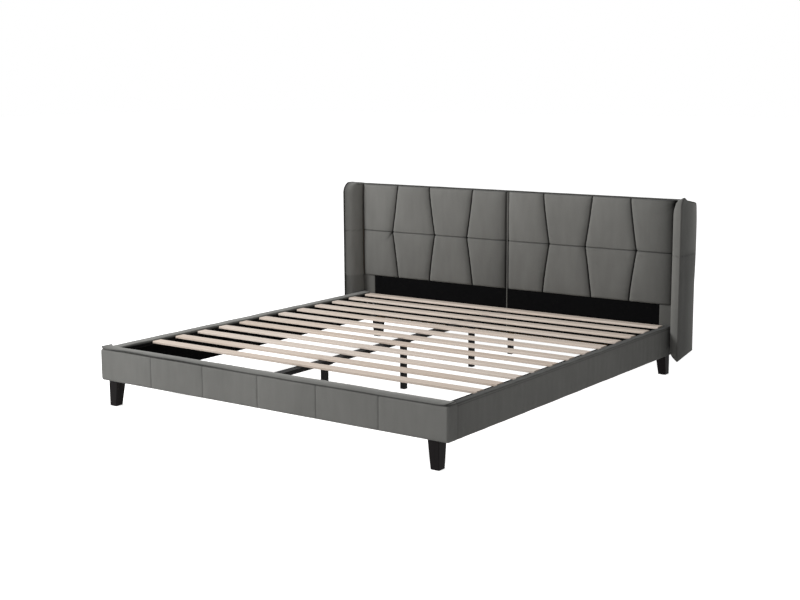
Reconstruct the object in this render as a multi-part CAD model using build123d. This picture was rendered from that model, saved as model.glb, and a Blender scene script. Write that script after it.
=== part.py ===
"""King-size tufted platform bed in velvet, as the flat-packed pieces that it is put together from.

Units are millimetres. +Z is up, +Y points to the head end, +X to the right seen from the foot.
The origin is on the floor, under the middle of the bed.
"""

import os
from math import sqrt

from build123d import *

# Driving sizes: the mattress bay and what stands round it
mattress_width = 1930
mattress_length = 2032
mattress_side_play = 1
footboard_depth = 68
headboard_depth = 84
frame_bottom = 125
frame_top = 283
overall_height = 938
wing_rise = 6.5
footboard_set_in = 5
rail_to_wing_gap = 14
wing_thickness = 60
wing_reach = 99

# Clearances and cuts
hair_gap = 0.3
half_joint_gap = 0.5
overrun = 20

# Side rails
rail_drop = 8
rail_thickness = 44
rail_outer_foam = 14
rail_inner_wrap = 2
rail_edge_radius = 8
rail_bulge = 2.5
lining_thickness = 2
board_inset = 3

# Slat deck
slat_count = 12
slat_width = 57
slat_thickness = 12
slat_drop = 3
slat_end_gap = 12
slat_edge_radius = 2.5
first_slat_gap = 228.5
last_slat_gap = 8.5
ledge_width = 40
ledge_height = 20
ledge_end_gap = 8
tape_thickness = 1.5
tape_width = 20
ledge_screw_diameter = 5
ledge_screw_bite = 12
ledge_screw_head = 10
ledge_screw_head_height = 3
ledge_screw_count = 7
ledge_screw_end = 110

# Footboard
footboard_front_foam = 14
footboard_end_wrap = 5
footboard_stud_width = 40
footboard_member = 32
footboard_front_board = 12
footboard_panel_count = 6
footboard_stud_count = 9
footboard_seam_depth = 4
footboard_band_height = 6
footboard_band_crown = 4
footboard_piping_radius = 2.2
footboard_end_radius = 9

# Headboard frame
head_front_board = 12
head_front_layer = 10
head_back_cover = 2
outer_stile = 110
centre_stile = 50
stud_width = 40
stud_count = 3
pad_bottom = 382
top_band_height = 6.5
low_rail_height = 60
mid_rail_height = 45
top_rail_height = 60
post_cover_width = 96
black_panel_lift = 6
top_band_piping = 3

# Tufted pads: eight pillows on each half, between zigzag seams
seam_shares = (0.225, 0.515, 0.735)
seam_zigzag = 38
seam_floor = 5
pillow_crown = 19
pillow_margin = 3
pillow_inset_shares = (0.0, 0.035, 0.11, 0.26, 0.50)
pillow_rise_shares = (0.0, 0.42, 0.72, 0.93, 1.0)

# Wings
wing_board_thickness = 18
wing_inner_cloth = 2
wing_board_inset = 16
wing_tip_height = 106
wing_inner_bottom = 142
wing_rear_bottom = 138
wing_rear_drop = 33
wing_corner_radius = 50
wing_inner_front_radius = 45
wing_outer_front_radius = 5
wing_bolt_height_shares = (0.21875, 0.54375, 0.84375)
wing_bolt_diameter = 8
wing_bolt_head = 13
wing_bolt_head_height = 5
wing_bolt_grip = 14

# Joining straps behind the two headboard halves
strap_height_shares = (0.15625, 0.54375, 0.88125)
strap_width = 34
strap_length = 84
strap_thickness = 3
strap_hole_pitch = 60
strap_screw_diameter = 6
strap_screw_length = 34
strap_clearance = 2

# Corner brackets and their bolts
bracket_steel = 3
bracket_leg = 52
bracket_margin = 10.75
bracket_hole_end = 18
bracket_hole_diameter = 9
bolt_diameter = 8
bolt_head_diameter = 14
bolt_head_height = 4.5
bolt_tip_gap = 2
end_bolt_cover = 14

# Centre beam, its hangers and legs
beam_width = 44
beam_height = 20
beam_wall = 1.5
beam_end_play = 1
hanger_steel = 3
hanger_seat = 36
hanger_flange = 24
hanger_screw_diameter = 5
hanger_screw_length = 22
hanger_screw_head = 10
hanger_screw_head_height = 2.5
centre_leg_size = 26
centre_leg_wall = 1.5
centre_leg_from_foot = 404
centre_leg_from_head = 365
centre_leg_count = 3
flange_length = 70
flange_thickness = 3
flange_screw_pitch = 52
flange_screw_diameter = 4.5
flange_screw_length = 10
flange_screw_head = 8.5
flange_screw_head_height = 2
head_leg_setback = 40
glide_height = 4
glide_plug = 14

# Tapered corner legs
leg_top_size = 57
leg_foot_size = 43
leg_side_inset = 43.7
leg_front_inset = 8.9
leg_back_inset = 14.5
leg_edge_radius = 3
leg_glide_diameter = 26
leg_glide_height = 3
leg_stud_diameter = 8
leg_stud_length = 60
leg_stud_depth = 22

# Places worked out from the sizes above
bay_half = mattress_width / 2 + mattress_side_play
overall_length = footboard_depth + mattress_length + headboard_depth
front_y = -overall_length / 2
bay_front_y = front_y + footboard_depth
bay_back_y = bay_front_y + mattress_length
back_y = overall_length / 2
rail_outer = bay_half + rail_thickness
footboard_half = rail_outer - footboard_set_in
headboard_half = rail_outer + rail_to_wing_gap
black_panel_half = headboard_half - post_cover_width
wing_outer = headboard_half + wing_thickness
wing_front_y = bay_back_y - wing_reach
rail_top = frame_top - rail_drop
slat_top = rail_top - slat_drop
slat_bottom = slat_top - slat_thickness
ledge_top = slat_bottom - tape_thickness
ledge_bottom = ledge_top - ledge_height
beam_top = slat_bottom - hair_gap
beam_bottom = beam_top - beam_height
lining_face = bay_half + rail_inner_wrap
board_face = lining_face + lining_thickness
board_outer = rail_outer - rail_outer_foam
frame_front_y = bay_back_y + head_front_layer
member_front_y = frame_front_y + head_front_board
member_back_y = back_y - head_back_cover
headboard_top = overall_height - wing_rise
frame_roof = headboard_top - top_band_height
pad_top = frame_roof - pillow_margin
bracket_low = frame_bottom + bracket_margin
bracket_high = ledge_bottom - bracket_margin
bracket_hole_heights = (bracket_low + bracket_hole_end, bracket_high - bracket_hole_end)
rail_bolt_length = board_outer - lining_face - bolt_tip_gap
end_bolt_length = footboard_depth - footboard_front_foam - end_bolt_cover
ledge_screw_length = ledge_width + lining_thickness + ledge_screw_bite

SIDES = (("left", -1), ("right", 1))
ENDS = (("foot", bay_front_y, 1), ("head", bay_back_y, -1))

os.makedirs("parts", exist_ok=True)


def block(x_range, y_range, z_range):
    """A box between two places on each axis, given in either order."""
    x0, x1 = sorted(x_range)
    y0, y1 = sorted(y_range)
    z0, z1 = sorted(z_range)
    centre = ((x0 + x1) / 2, (y0 + y1) / 2, (z0 + z1) / 2)
    return Pos(*centre) * Box(x1 - x0, y1 - y0, z1 - z0)


def rod(start, direction, diameter, length):
    """A round bar from a point along a direction."""
    plane = Plane(origin=start, z_dir=direction)
    return plane * Cylinder(diameter / 2, length, align=(Align.CENTER, Align.CENTER, Align.MIN))


def bolt(seat, direction, diameter, length, head_diameter, head_height):
    """A bolt whose head stands on its seat, with the shank along the direction."""
    back = tuple(-value for value in direction)
    return rod(seat, direction, diameter, length) + rod(seat, back, head_diameter, head_height)


def round_corner(start, corner, end):
    """A quarter arc that rounds off a square corner."""
    start, corner, end = Vector(*start), Vector(*corner), Vector(*end)
    centre = start + end - corner
    return ThreePointArc(start, centre + (corner - centre) / sqrt(2), end)


def save(name, *solids):
    """Write one sub-part, as one solid or as a group of separate ones."""
    shape = solids[0] if len(solids) == 1 else Compound(children=list(solids))
    export_step(shape, f"parts/{name}.step")


def spread(count, first, last):
    """Evenly spaced places, the first and the last among them."""
    return [first + (last - first) * index / (count - 1) for index in range(count)]


def frame_heights(shares):
    """Heights on the headboard's frame, from its underside to its roof."""
    return [frame_bottom + (frame_roof - frame_bottom) * share for share in shares]


def pillow(corners, floor_y, crown):
    """A stuffed pillow on the XZ outline of its seams: rings that draw in as they rise to the front."""
    middle_x = sum(x for x, z in corners) / len(corners)
    middle_z = sum(z for x, z in corners) / len(corners)
    rings = []
    for inset, rise in zip(pillow_inset_shares, pillow_rise_shares):
        y = floor_y - crown * rise
        ring = [(x + (middle_x - x) * inset, y, z + (middle_z - z) * inset) for x, z in corners]
        rings.append(make_face(Polyline(*ring, close=True)))
    return loft(rings, ruled=True)


# Side rails: a board in padded velvet, black lining and slat ledge inside
def rail_cover(side):
    """Velvet over foam: down the outside, over the top and down the inside to the slats."""
    flap_bottom = ledge_top
    outer = rail_outer - rail_bulge
    middle = (frame_bottom + rail_top) / 2
    radius = rail_edge_radius
    y = bay_front_y
    inner_low = (bay_half, y, rail_top - radius)
    inner_high = (bay_half + radius, y, rail_top)
    outer_high = (outer - radius, y, rail_top)
    outer_low = (outer, y, rail_top - radius)
    line = Line((bay_half, y, flap_bottom), inner_low)
    line += round_corner(inner_low, (bay_half, y, rail_top), inner_high)
    line += Line(inner_high, outer_high)
    line += round_corner(outer_high, (outer, y, rail_top), outer_low)
    line += ThreePointArc(outer_low, (rail_outer, y, middle), (outer, y, frame_bottom))
    line += Polyline(
        (outer, y, frame_bottom),
        (board_face, y, frame_bottom),
        (board_face, y, flap_bottom),
        (bay_half, y, flap_bottom),
    )
    cover = extrude(make_face(line), amount=mattress_length, dir=(0, 1, 0))
    cover -= block(
        (board_face, board_outer),
        (bay_front_y - overrun, bay_back_y + overrun),
        (frame_bottom + board_inset, rail_top - board_inset),
    )
    return cover if side > 0 else cover.mirror(Plane.YZ)


def bracket_places():
    """Each corner of the bay: side sign, the end's Y and the way into the bay along Y."""
    return [(side, end_y, inward) for _, end_y, inward in ENDS for _, side in SIDES]


bolt_reach = bracket_leg * 3 / 5
rail_bolt_holes = [
    rod(
        (side * (lining_face - overrun), end_y + inward * bolt_reach, z),
        (side, 0, 0),
        bolt_diameter,
        overrun + rail_bolt_length,
    )
    for side, end_y, inward in bracket_places()
    for z in bracket_hole_heights
]

ledge_screw_y = spread(ledge_screw_count, bay_front_y + ledge_screw_end, bay_back_y - ledge_screw_end)
ledge_middle_z = ledge_top - ledge_height / 2


def ledge_screw_holes(side):
    """Clearance for the screws that hold a ledge to its rail board."""
    start = side * (lining_face - ledge_width - overrun)
    return [
        rod((start, y, ledge_middle_z), (side, 0, 0), ledge_screw_diameter, overrun + ledge_screw_length)
        for y in ledge_screw_y
    ]


for name, side in SIDES:
    board = block(
        (side * board_face, side * board_outer),
        (bay_front_y, bay_back_y),
        (frame_bottom + board_inset, rail_top - board_inset),
    )
    board -= rail_bolt_holes
    board -= ledge_screw_holes(side)
    save(f"rail_board_{name}", board)
    save(f"rail_cover_{name}", rail_cover(side))
    lining = block(
        (side * lining_face, side * board_face),
        (bay_front_y, bay_back_y),
        (frame_bottom, ledge_top),
    )
    lining -= rail_bolt_holes
    lining -= ledge_screw_holes(side)
    save(f"rail_lining_{name}", lining)
    ledge = block(
        (side * (lining_face - ledge_width), side * lining_face),
        (bay_front_y + ledge_end_gap, bay_back_y - ledge_end_gap),
        (ledge_bottom, ledge_top),
    )
    ledge -= ledge_screw_holes(side)
    save(f"slat_ledge_{name}", ledge)

save(
    "ledge_screws",
    *[
        bolt(
            (side * (lining_face - ledge_width), y, ledge_middle_z),
            (side, 0, 0),
            ledge_screw_diameter,
            ledge_screw_length,
            ledge_screw_head,
            ledge_screw_head_height,
        )
        for _, side in SIDES
        for y in ledge_screw_y
    ],
)

save(
    "slat_grip_tapes",
    *[
        block(
            (side * (lining_face - ledge_width), side * (lining_face - ledge_width + tape_width)),
            (bay_front_y + ledge_end_gap, bay_back_y - ledge_end_gap),
            (ledge_top, slat_bottom),
        )
        for _, side in SIDES
    ],
)

# Slats: straight boards with eased edges, from rail to rail
slat_centres = spread(
    slat_count,
    bay_front_y + first_slat_gap + slat_width / 2,
    bay_back_y - last_slat_gap - slat_width / 2,
)
for number, y in enumerate(slat_centres, start=1):
    outline = Plane.YZ * RectangleRounded(slat_width, slat_thickness, slat_edge_radius)
    slat = extrude(outline, amount=bay_half - slat_end_gap, both=True)
    save(f"slat_{number:02d}", Pos(0, y, slat_bottom + slat_thickness / 2) * slat)


# Footboard: a wooden frame behind a padded front of six panels, with a domed band on top
footboard_back_y = bay_front_y
foot_frame_front = front_y + footboard_front_foam
foot_lining_front = footboard_back_y - lining_thickness
foot_frame_half = footboard_half - footboard_end_wrap
foot_frame_top = frame_top - footboard_band_height
foot_bolt_x = bay_half - bolt_reach


def end_bolt_holes(end_y, inward, length):
    """Holes through the bracket legs into the board that closes an end of the bay."""
    start_y = end_y + inward * overrun
    return [
        rod((side * foot_bolt_x, start_y, z), (0, -inward, 0), bolt_diameter, overrun + length)
        for _, side in SIDES
        for z in bracket_hole_heights
    ]


foot_frame = block(
    (-foot_frame_half, foot_frame_half),
    (foot_frame_front, foot_lining_front),
    (frame_bottom, foot_frame_top),
)
foot_stud_x = spread(
    footboard_stud_count,
    -foot_frame_half + leg_top_size + leg_side_inset,
    foot_frame_half - leg_top_size - leg_side_inset,
)
for left_x, right_x in zip(foot_stud_x, foot_stud_x[1:]):
    foot_frame -= block(
        (left_x + footboard_stud_width / 2, right_x - footboard_stud_width / 2),
        (foot_frame_front + footboard_front_board, footboard_back_y),
        (frame_bottom + footboard_member, foot_frame_top - footboard_member),
    )
foot_frame -= end_bolt_holes(footboard_back_y, 1, end_bolt_length)

hanger_screw_z = beam_bottom - hanger_steel - hanger_flange / 2


def hanger_screw_holes(end_y, inward):
    """Holes for the two screws that hold a beam hanger to its board."""
    start_y = end_y + inward * overrun
    length = overrun + hanger_screw_length
    return [
        rod((x, start_y, hanger_screw_z), (0, -inward, 0), hanger_screw_diameter, length)
        for x in (-beam_width / 4, beam_width / 4)
    ]


stud_start_z = frame_bottom + leg_stud_depth - leg_stud_length
leg_centre_x = footboard_half - leg_side_inset - leg_top_size / 2
front_leg_y = front_y + leg_front_inset + leg_top_size / 2
rear_leg_y = back_y - leg_back_inset - leg_top_size / 2


def leg_stud_holes(y):
    """Pilot holes for the studs of the two corner legs on one line."""
    return [
        rod((side * leg_centre_x, y, stud_start_z), (0, 0, 1), leg_stud_diameter, leg_stud_length)
        for _, side in SIDES
    ]


foot_frame -= hanger_screw_holes(footboard_back_y, 1)
foot_frame -= leg_stud_holes(front_leg_y)
save("footboard_frame", foot_frame)

foot_cover = block(
    (-footboard_half, footboard_half),
    (front_y + footboard_seam_depth, foot_lining_front),
    (frame_bottom, foot_frame_top),
)
foot_cover = fillet(
    foot_cover.edges().filter_by(Axis.Z).group_by(Axis.Y)[0],
    radius=min(footboard_end_radius, footboard_front_foam - footboard_seam_depth - hair_gap),
)
foot_cover -= block(
    (-foot_frame_half, foot_frame_half),
    (foot_frame_front, footboard_back_y),
    (frame_bottom - overrun, foot_frame_top + overrun),
)
panel_reach = footboard_half - footboard_end_radius
panel_edges = spread(footboard_panel_count + 1, -panel_reach, panel_reach)
for left_x, right_x in zip(panel_edges, panel_edges[1:]):
    low_corners = [(left_x, frame_bottom), (right_x, frame_bottom)]
    corners = low_corners + [(right_x, foot_frame_top), (left_x, foot_frame_top)]
    foot_cover += pillow(corners, front_y + footboard_seam_depth, footboard_seam_depth)
save("footboard_cover", foot_cover)

foot_lining = block(
    (-footboard_half, footboard_half),
    (foot_lining_front, footboard_back_y),
    (frame_bottom, foot_frame_top),
)
foot_lining -= end_bolt_holes(footboard_back_y, 1, end_bolt_length)
foot_lining -= hanger_screw_holes(footboard_back_y, 1)
save("footboard_lining", foot_lining)

band_edge = frame_top - footboard_band_crown
band_face = make_face(
    Polyline(
        (-footboard_half, footboard_back_y, band_edge),
        (-footboard_half, footboard_back_y, foot_frame_top),
        (-footboard_half, front_y + footboard_seam_depth, foot_frame_top),
        (-footboard_half, front_y + footboard_seam_depth, band_edge),
    )
    + ThreePointArc(
        (-footboard_half, front_y + footboard_seam_depth, band_edge),
        (-footboard_half, (front_y + footboard_back_y) / 2, frame_top),
        (-footboard_half, footboard_back_y, band_edge),
    )
)
band = extrude(band_face, amount=2 * footboard_half, dir=(1, 0, 0))
band += rod(
    (-footboard_half, front_y + footboard_seam_depth, foot_frame_top + footboard_piping_radius),
    (1, 0, 0),
    2 * footboard_piping_radius,
    2 * footboard_half,
)
save("footboard_top_band", band)


# Headboard: two halves, each a glued frame that carries its pad, cloths and band
studded_width = headboard_half - outer_stile - half_joint_gap - centre_stile
stud_gap = (studded_width - stud_count * stud_width) / (stud_count + 1)
window_rows = (
    (frame_bottom + low_rail_height, pad_bottom - mid_rail_height / 2),
    (pad_bottom + mid_rail_height / 2, frame_roof - top_rail_height),
)
wing_bolt_y = (member_front_y + member_back_y) / 2
wing_bolt_seat = headboard_half - outer_stile / 2
wing_bolt_length = headboard_half + wing_inner_cloth + wing_bolt_grip - wing_bolt_seat


def wing_bolt_holes(side):
    """Holes through the outer stile into the wing's board, with room for each head."""
    holes = []
    for z in frame_heights(wing_bolt_height_shares):
        seat = (side * wing_bolt_seat, wing_bolt_y, z)
        holes.append(rod(seat, (side, 0, 0), wing_bolt_diameter, wing_bolt_length))
        holes.append(
            block(
                (side * (headboard_half - outer_stile - overrun), side * wing_bolt_seat),
                (wing_bolt_y - wing_bolt_head, member_back_y),
                (z - wing_bolt_head, z + wing_bolt_head),
            )
        )
    return holes


def head_frame(side):
    """Front board with stiles, studs and rails glued behind it, open at the back."""
    frame = block(
        (side * half_joint_gap, side * headboard_half),
        (frame_front_y, member_back_y),
        (frame_bottom, frame_roof),
    )
    for index in range(stud_count + 1):
        start = half_joint_gap + centre_stile + index * (stud_gap + stud_width)
        for low, high in window_rows:
            frame -= block(
                (side * start, side * (start + stud_gap)),
                (member_front_y, member_back_y + overrun),
                (low, high),
            )
    frame -= wing_bolt_holes(side)
    frame -= end_bolt_holes(bay_back_y, -1, end_bolt_length)
    frame -= hanger_screw_holes(bay_back_y, -1)
    frame -= leg_stud_holes(rear_leg_y)
    frame -= strap_recesses
    frame -= strap_screw_holes
    frame -= head_leg_stud_hole
    return frame


strap_front_y = back_y - strap_thickness
strap_heights = frame_heights(strap_height_shares)
strap_recesses = [
    block(
        (-strap_length / 2 - strap_clearance, strap_length / 2 + strap_clearance),
        (strap_front_y, back_y + overrun),
        (z - strap_width / 2 - strap_clearance, z + strap_width / 2 + strap_clearance),
    )
    for z in strap_heights
]
strap_screw_holes = [
    rod(
        (sign * strap_hole_pitch / 2, back_y + overrun, z),
        (0, -1, 0),
        strap_screw_diameter,
        overrun + strap_screw_length,
    )
    for z in strap_heights
    for sign in (-1, 1)
]
head_leg_y = back_y - head_leg_setback
head_leg_stud_hole = rod((0, head_leg_y, stud_start_z), (0, 0, 1), leg_stud_diameter, leg_stud_length)


def pad_quads(side):
    """Corners of the eight pillows of one half, between the zigzag seams."""
    inner = half_joint_gap + pillow_margin
    outer = headboard_half - hair_gap - pillow_margin
    first, second, third = [headboard_half * share for share in seam_shares]
    straight = [inner, first, second, third, outer]
    shifted = [inner, first + seam_zigzag, second - seam_zigzag, third + seam_zigzag, outer]
    middle_z = (pad_bottom + pad_top) / 2
    rows = (
        (pad_bottom + pillow_margin, straight, middle_z, shifted),
        (middle_z, shifted, pad_top - pillow_margin, straight),
    )
    quads = []
    for low_z, low_x, high_z, high_x in rows:
        for index in range(len(straight) - 1):
            quads.append(
                [
                    (side * low_x[index], low_z),
                    (side * low_x[index + 1], low_z),
                    (side * high_x[index + 1], high_z),
                    (side * high_x[index], high_z),
                ]
            )
    return quads


pad_floor_y = frame_front_y - seam_floor
for name, side in SIDES:
    save(f"headboard_frame_{name}", head_frame(side))
    pad = block(
        (side * half_joint_gap, side * (headboard_half - hair_gap)),
        (pad_floor_y, frame_front_y),
        (pad_bottom, pad_top),
    )
    for corners in pad_quads(side):
        pad += pillow(corners, pad_floor_y, pillow_crown)
    save(f"headboard_pad_{name}", pad)
    panel = block(
        (side * half_joint_gap, side * black_panel_half),
        (bay_back_y, frame_front_y),
        (frame_bottom + black_panel_lift, pad_bottom - hair_gap),
    )
    panel -= end_bolt_holes(bay_back_y, -1, end_bolt_length)
    panel -= hanger_screw_holes(bay_back_y, -1)
    save(f"headboard_lower_lining_{name}", panel)
    post = block(
        (side * black_panel_half, side * headboard_half),
        (bay_back_y, frame_front_y),
        (frame_bottom, pad_bottom - hair_gap),
    )
    post -= end_bolt_holes(bay_back_y, -1, end_bolt_length)
    save(f"headboard_post_cover_{name}", post)
    cloth = block(
        (side * half_joint_gap, side * headboard_half),
        (member_back_y, back_y),
        (frame_bottom, frame_roof),
    )
    cloth -= strap_recesses
    cloth -= strap_screw_holes
    save(f"headboard_back_cover_{name}", cloth)
    roof = block(
        (side * half_joint_gap, side * headboard_half),
        (frame_front_y, back_y),
        (frame_roof, headboard_top),
    )
    roof += rod(
        (side * half_joint_gap, frame_front_y, frame_roof + top_band_piping),
        (side, 0, 0),
        2 * top_band_piping,
        headboard_half - half_joint_gap - hair_gap,
    )
    save(f"headboard_top_band_{name}", roof)

straps = []
strap_screws = []
for z in strap_heights:
    strap = block(
        (-strap_length / 2, strap_length / 2),
        (strap_front_y, back_y),
        (z - strap_width / 2, z + strap_width / 2),
    )
    strap -= strap_screw_holes
    straps.append(strap)
    for sign in (-1, 1):
        start = (sign * strap_hole_pitch / 2, back_y, z)
        strap_screws.append(rod(start, (0, -1, 0), strap_screw_diameter, strap_screw_length))
save("headboard_straps", *straps)
save("headboard_strap_screws", *strap_screws)


# Wings: a board in thick padding at each end of the headboard
def wing_plan():
    """The right wing from above: soft at its inner front corner, crisp at the outer one."""
    z = wing_tip_height - overrun
    soft, crisp = wing_inner_front_radius, wing_outer_front_radius
    inner_start = (headboard_half, wing_front_y + soft, z)
    inner_end = (headboard_half + soft, wing_front_y, z)
    outer_start = (wing_outer - crisp, wing_front_y, z)
    outer_end = (wing_outer, wing_front_y + crisp, z)
    outline = round_corner(inner_start, (headboard_half, wing_front_y, z), inner_end)
    outline += Line(inner_end, outer_start)
    outline += round_corner(outer_start, (wing_outer, wing_front_y, z), outer_end)
    outline += Polyline(outer_end, (wing_outer, back_y, z), (headboard_half, back_y, z), inner_start)
    return extrude(make_face(outline), amount=overall_height, dir=(0, 0, 1))


def wing_profile():
    """The right wing from the side: tallest in front with one round corner, drawn in behind."""
    x = headboard_half
    radius = wing_corner_radius
    tip = (x, wing_front_y, wing_tip_height)
    shoulder = (x, wing_front_y, overall_height - radius)
    crest = (x, wing_front_y + radius, overall_height)
    rear_low = (x, back_y, wing_rear_bottom)
    rear_high = (x, back_y, overall_height - wing_rear_drop)
    outline = Polyline(shoulder, tip, rear_low, rear_high, crest)
    outline += round_corner(crest, (x, wing_front_y, overall_height), shoulder)
    return extrude(make_face(outline), amount=wing_thickness, dir=(1, 0, 0))


def wing_body():
    """The right wing's padded form, with the underside rising to the inner and rear edges."""
    inner_slope = (wing_inner_bottom - wing_tip_height) / wing_thickness
    rear_slope = (wing_rear_bottom - wing_tip_height) / (back_y - wing_front_y)
    underside = Plane(
        origin=(wing_outer, wing_front_y, wing_tip_height),
        z_dir=(inner_slope, -rear_slope, 1),
    )
    return split(wing_plan() & wing_profile(), bisect_by=underside, keep=Keep.TOP)


wing_board_front = wing_front_y + wing_board_inset + wing_inner_front_radius / 2
wing_board_x = (headboard_half + wing_inner_cloth, headboard_half + wing_inner_cloth + wing_board_thickness)
wing_board_low = wing_inner_bottom + wing_rear_bottom - wing_tip_height + wing_board_inset
wing_board_z = (wing_board_low, overall_height - wing_rear_drop - wing_board_inset)
wing_slot = block(wing_board_x, (wing_board_front, back_y + overrun), wing_board_z)
wing_cover_solid = wing_body() - wing_slot - wing_bolt_holes(1)
wing_board_solid = block(wing_board_x, (wing_board_front, back_y), wing_board_z) - wing_bolt_holes(1)
save("wing_cover_right", wing_cover_solid)
save("wing_cover_left", wing_cover_solid.mirror(Plane.YZ))
save("wing_board_right", wing_board_solid)
save("wing_board_left", wing_board_solid.mirror(Plane.YZ))
save(
    "wing_bolts",
    *[
        bolt(
            (side * wing_bolt_seat, wing_bolt_y, z),
            (side, 0, 0),
            wing_bolt_diameter,
            wing_bolt_length,
            wing_bolt_head,
            wing_bolt_head_height,
        )
        for _, side in SIDES
        for z in frame_heights(wing_bolt_height_shares)
    ],
)


# Corner brackets: steel angles inside the bay, bolted to the rails and to the end boards
def bracket(side, end_y, inward):
    """One angle with two holes in each leg."""
    rail_leg = block(
        (side * (lining_face - bracket_steel), side * lining_face),
        (end_y, end_y + inward * bracket_leg),
        (bracket_low, bracket_high),
    )
    end_leg = block(
        (side * (lining_face - bracket_leg), side * lining_face),
        (end_y, end_y + inward * bracket_steel),
        (bracket_low, bracket_high),
    )
    angle = rail_leg + end_leg
    for z in bracket_hole_heights:
        angle -= rod(
            (side * (lining_face - overrun), end_y + inward * bolt_reach, z),
            (side, 0, 0),
            bracket_hole_diameter,
            2 * overrun,
        )
        angle -= rod(
            (side * foot_bolt_x, end_y + inward * overrun, z),
            (0, -inward, 0),
            bracket_hole_diameter,
            2 * overrun,
        )
    return angle


save("corner_brackets", *[bracket(*place) for place in bracket_places()])
bracket_bolts = []
for side, end_y, inward in bracket_places():
    for z in bracket_hole_heights:
        rail_seat = (side * (lining_face - bracket_steel), end_y + inward * bolt_reach, z)
        end_seat = (side * foot_bolt_x, end_y + inward * bracket_steel, z)
        for seat, direction, grip in (
            (rail_seat, (side, 0, 0), rail_bolt_length),
            (end_seat, (0, -inward, 0), end_bolt_length),
        ):
            shank = grip + bracket_steel
            size = (bolt_diameter, shank, bolt_head_diameter, bolt_head_height)
            bracket_bolts.append(bolt(seat, direction, *size))
save("bracket_bolts", *bracket_bolts)


# Centre beam: a flat steel tube under the slats, hung at both ends and standing on three legs
beam_front_y = bay_front_y + hanger_steel + beam_end_play
beam_back_y = bay_back_y - hanger_steel - beam_end_play
centre_leg_y = spread(
    centre_leg_count,
    bay_front_y + centre_leg_from_foot,
    bay_back_y - centre_leg_from_head,
)


def flange_screw_holes():
    """Holes for the screws that hold the three leg flanges under the beam."""
    return [
        rod(
            (0, y + sign * flange_screw_pitch / 2, beam_bottom - flange_thickness - overrun),
            (0, 0, 1),
            flange_screw_diameter,
            overrun + flange_screw_length,
        )
        for y in centre_leg_y
        for sign in (-1, 1)
    ]


beam = block((-beam_width / 2, beam_width / 2), (beam_front_y, beam_back_y), (beam_bottom, beam_top))
beam -= block(
    (-beam_width / 2 + beam_wall, beam_width / 2 - beam_wall),
    (beam_front_y - overrun, beam_back_y + overrun),
    (beam_bottom + beam_wall, beam_top - beam_wall),
)
beam -= flange_screw_holes()
save("centre_beam", beam)

hangers = []
hanger_screws = []
for _, end_y, inward in ENDS:
    half = beam_width / 2 + hanger_steel
    saddle = block(
        (-half, half),
        (end_y, end_y + inward * (hanger_steel + hanger_seat)),
        (beam_bottom - hanger_steel, beam_top - beam_wall),
    )
    saddle -= block(
        (-beam_width / 2, beam_width / 2),
        (end_y + inward * hanger_steel, end_y + inward * (hanger_steel + hanger_seat + overrun)),
        (beam_bottom, beam_top + overrun),
    )
    saddle += block(
        (-half, half),
        (end_y, end_y + inward * hanger_steel),
        (beam_bottom - hanger_steel - hanger_flange, beam_bottom - hanger_steel),
    )
    saddle -= hanger_screw_holes(end_y, inward)
    hangers.append(saddle)
    for sign in (-1, 1):
        hanger_screws.append(
            bolt(
                (sign * beam_width / 4, end_y + inward * hanger_steel, hanger_screw_z),
                (0, -inward, 0),
                hanger_screw_diameter,
                hanger_screw_length,
                hanger_screw_head,
                hanger_screw_head_height,
            )
        )
save("beam_hangers", *hangers)


# Centre legs: square tubes with a flange under the beam and a moulded glide in the foot
def square_leg(y, top):
    """A square tube standing on its glide, up to a given height."""
    half = centre_leg_size / 2
    bore = half - centre_leg_wall
    tube = block((-half, half), (y - half, y + half), (glide_height, top))
    inside_z = (glide_height - overrun, top - centre_leg_wall)
    return tube - block((-bore, bore), (y - bore, y + bore), inside_z)


def square_glide(y):
    """A moulded foot with a plug that fills the end of the tube."""
    half = centre_leg_size / 2
    bore = half - centre_leg_wall
    foot = block((-half, half), (y - half, y + half), (0, glide_height))
    return foot + block((-bore, bore), (y - bore, y + bore), (glide_height, glide_height + glide_plug))


for place, y in zip(("front", "middle", "rear"), centre_leg_y):
    leg = square_leg(y, beam_bottom - flange_thickness)
    leg += block(
        (-beam_width / 2, beam_width / 2),
        (y - flange_length / 2, y + flange_length / 2),
        (beam_bottom - flange_thickness, beam_bottom),
    )
    leg -= flange_screw_holes()
    save(f"centre_leg_{place}", leg)
flange_screws = [
    bolt(
        (0, y + sign * flange_screw_pitch / 2, beam_bottom - flange_thickness),
        (0, 0, 1),
        flange_screw_diameter,
        flange_screw_length,
        flange_screw_head,
        flange_screw_head_height,
    )
    for y in centre_leg_y
    for sign in (-1, 1)
]
save("beam_screws", *hanger_screws, *flange_screws)
save("headboard_centre_leg", square_leg(head_leg_y, frame_bottom) - head_leg_stud_hole)


# Corner legs: square and tapered on the two inner faces, upright on the two outer ones
def corner_leg(side, y, outward):
    """A leg whose outer corner stays upright; outward is the way out of the bed along Y."""
    outer_x = leg_centre_x + leg_top_size / 2
    outer_y = y + outward * leg_top_size / 2
    sections = []
    for size, z in ((leg_foot_size, leg_glide_height), (leg_top_size, frame_bottom)):
        centre = (side * (outer_x - size / 2), outer_y - outward * size / 2, z)
        sections.append(Pos(*centre) * RectangleRounded(size, size, leg_edge_radius))
    return loft(sections, ruled=True) - leg_stud_holes(y)


for end_name, y, outward in (("front", front_leg_y, -1), ("rear", rear_leg_y, 1)):
    for name, side in SIDES:
        save(f"corner_leg_{end_name}_{name}", corner_leg(side, y, outward))

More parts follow.
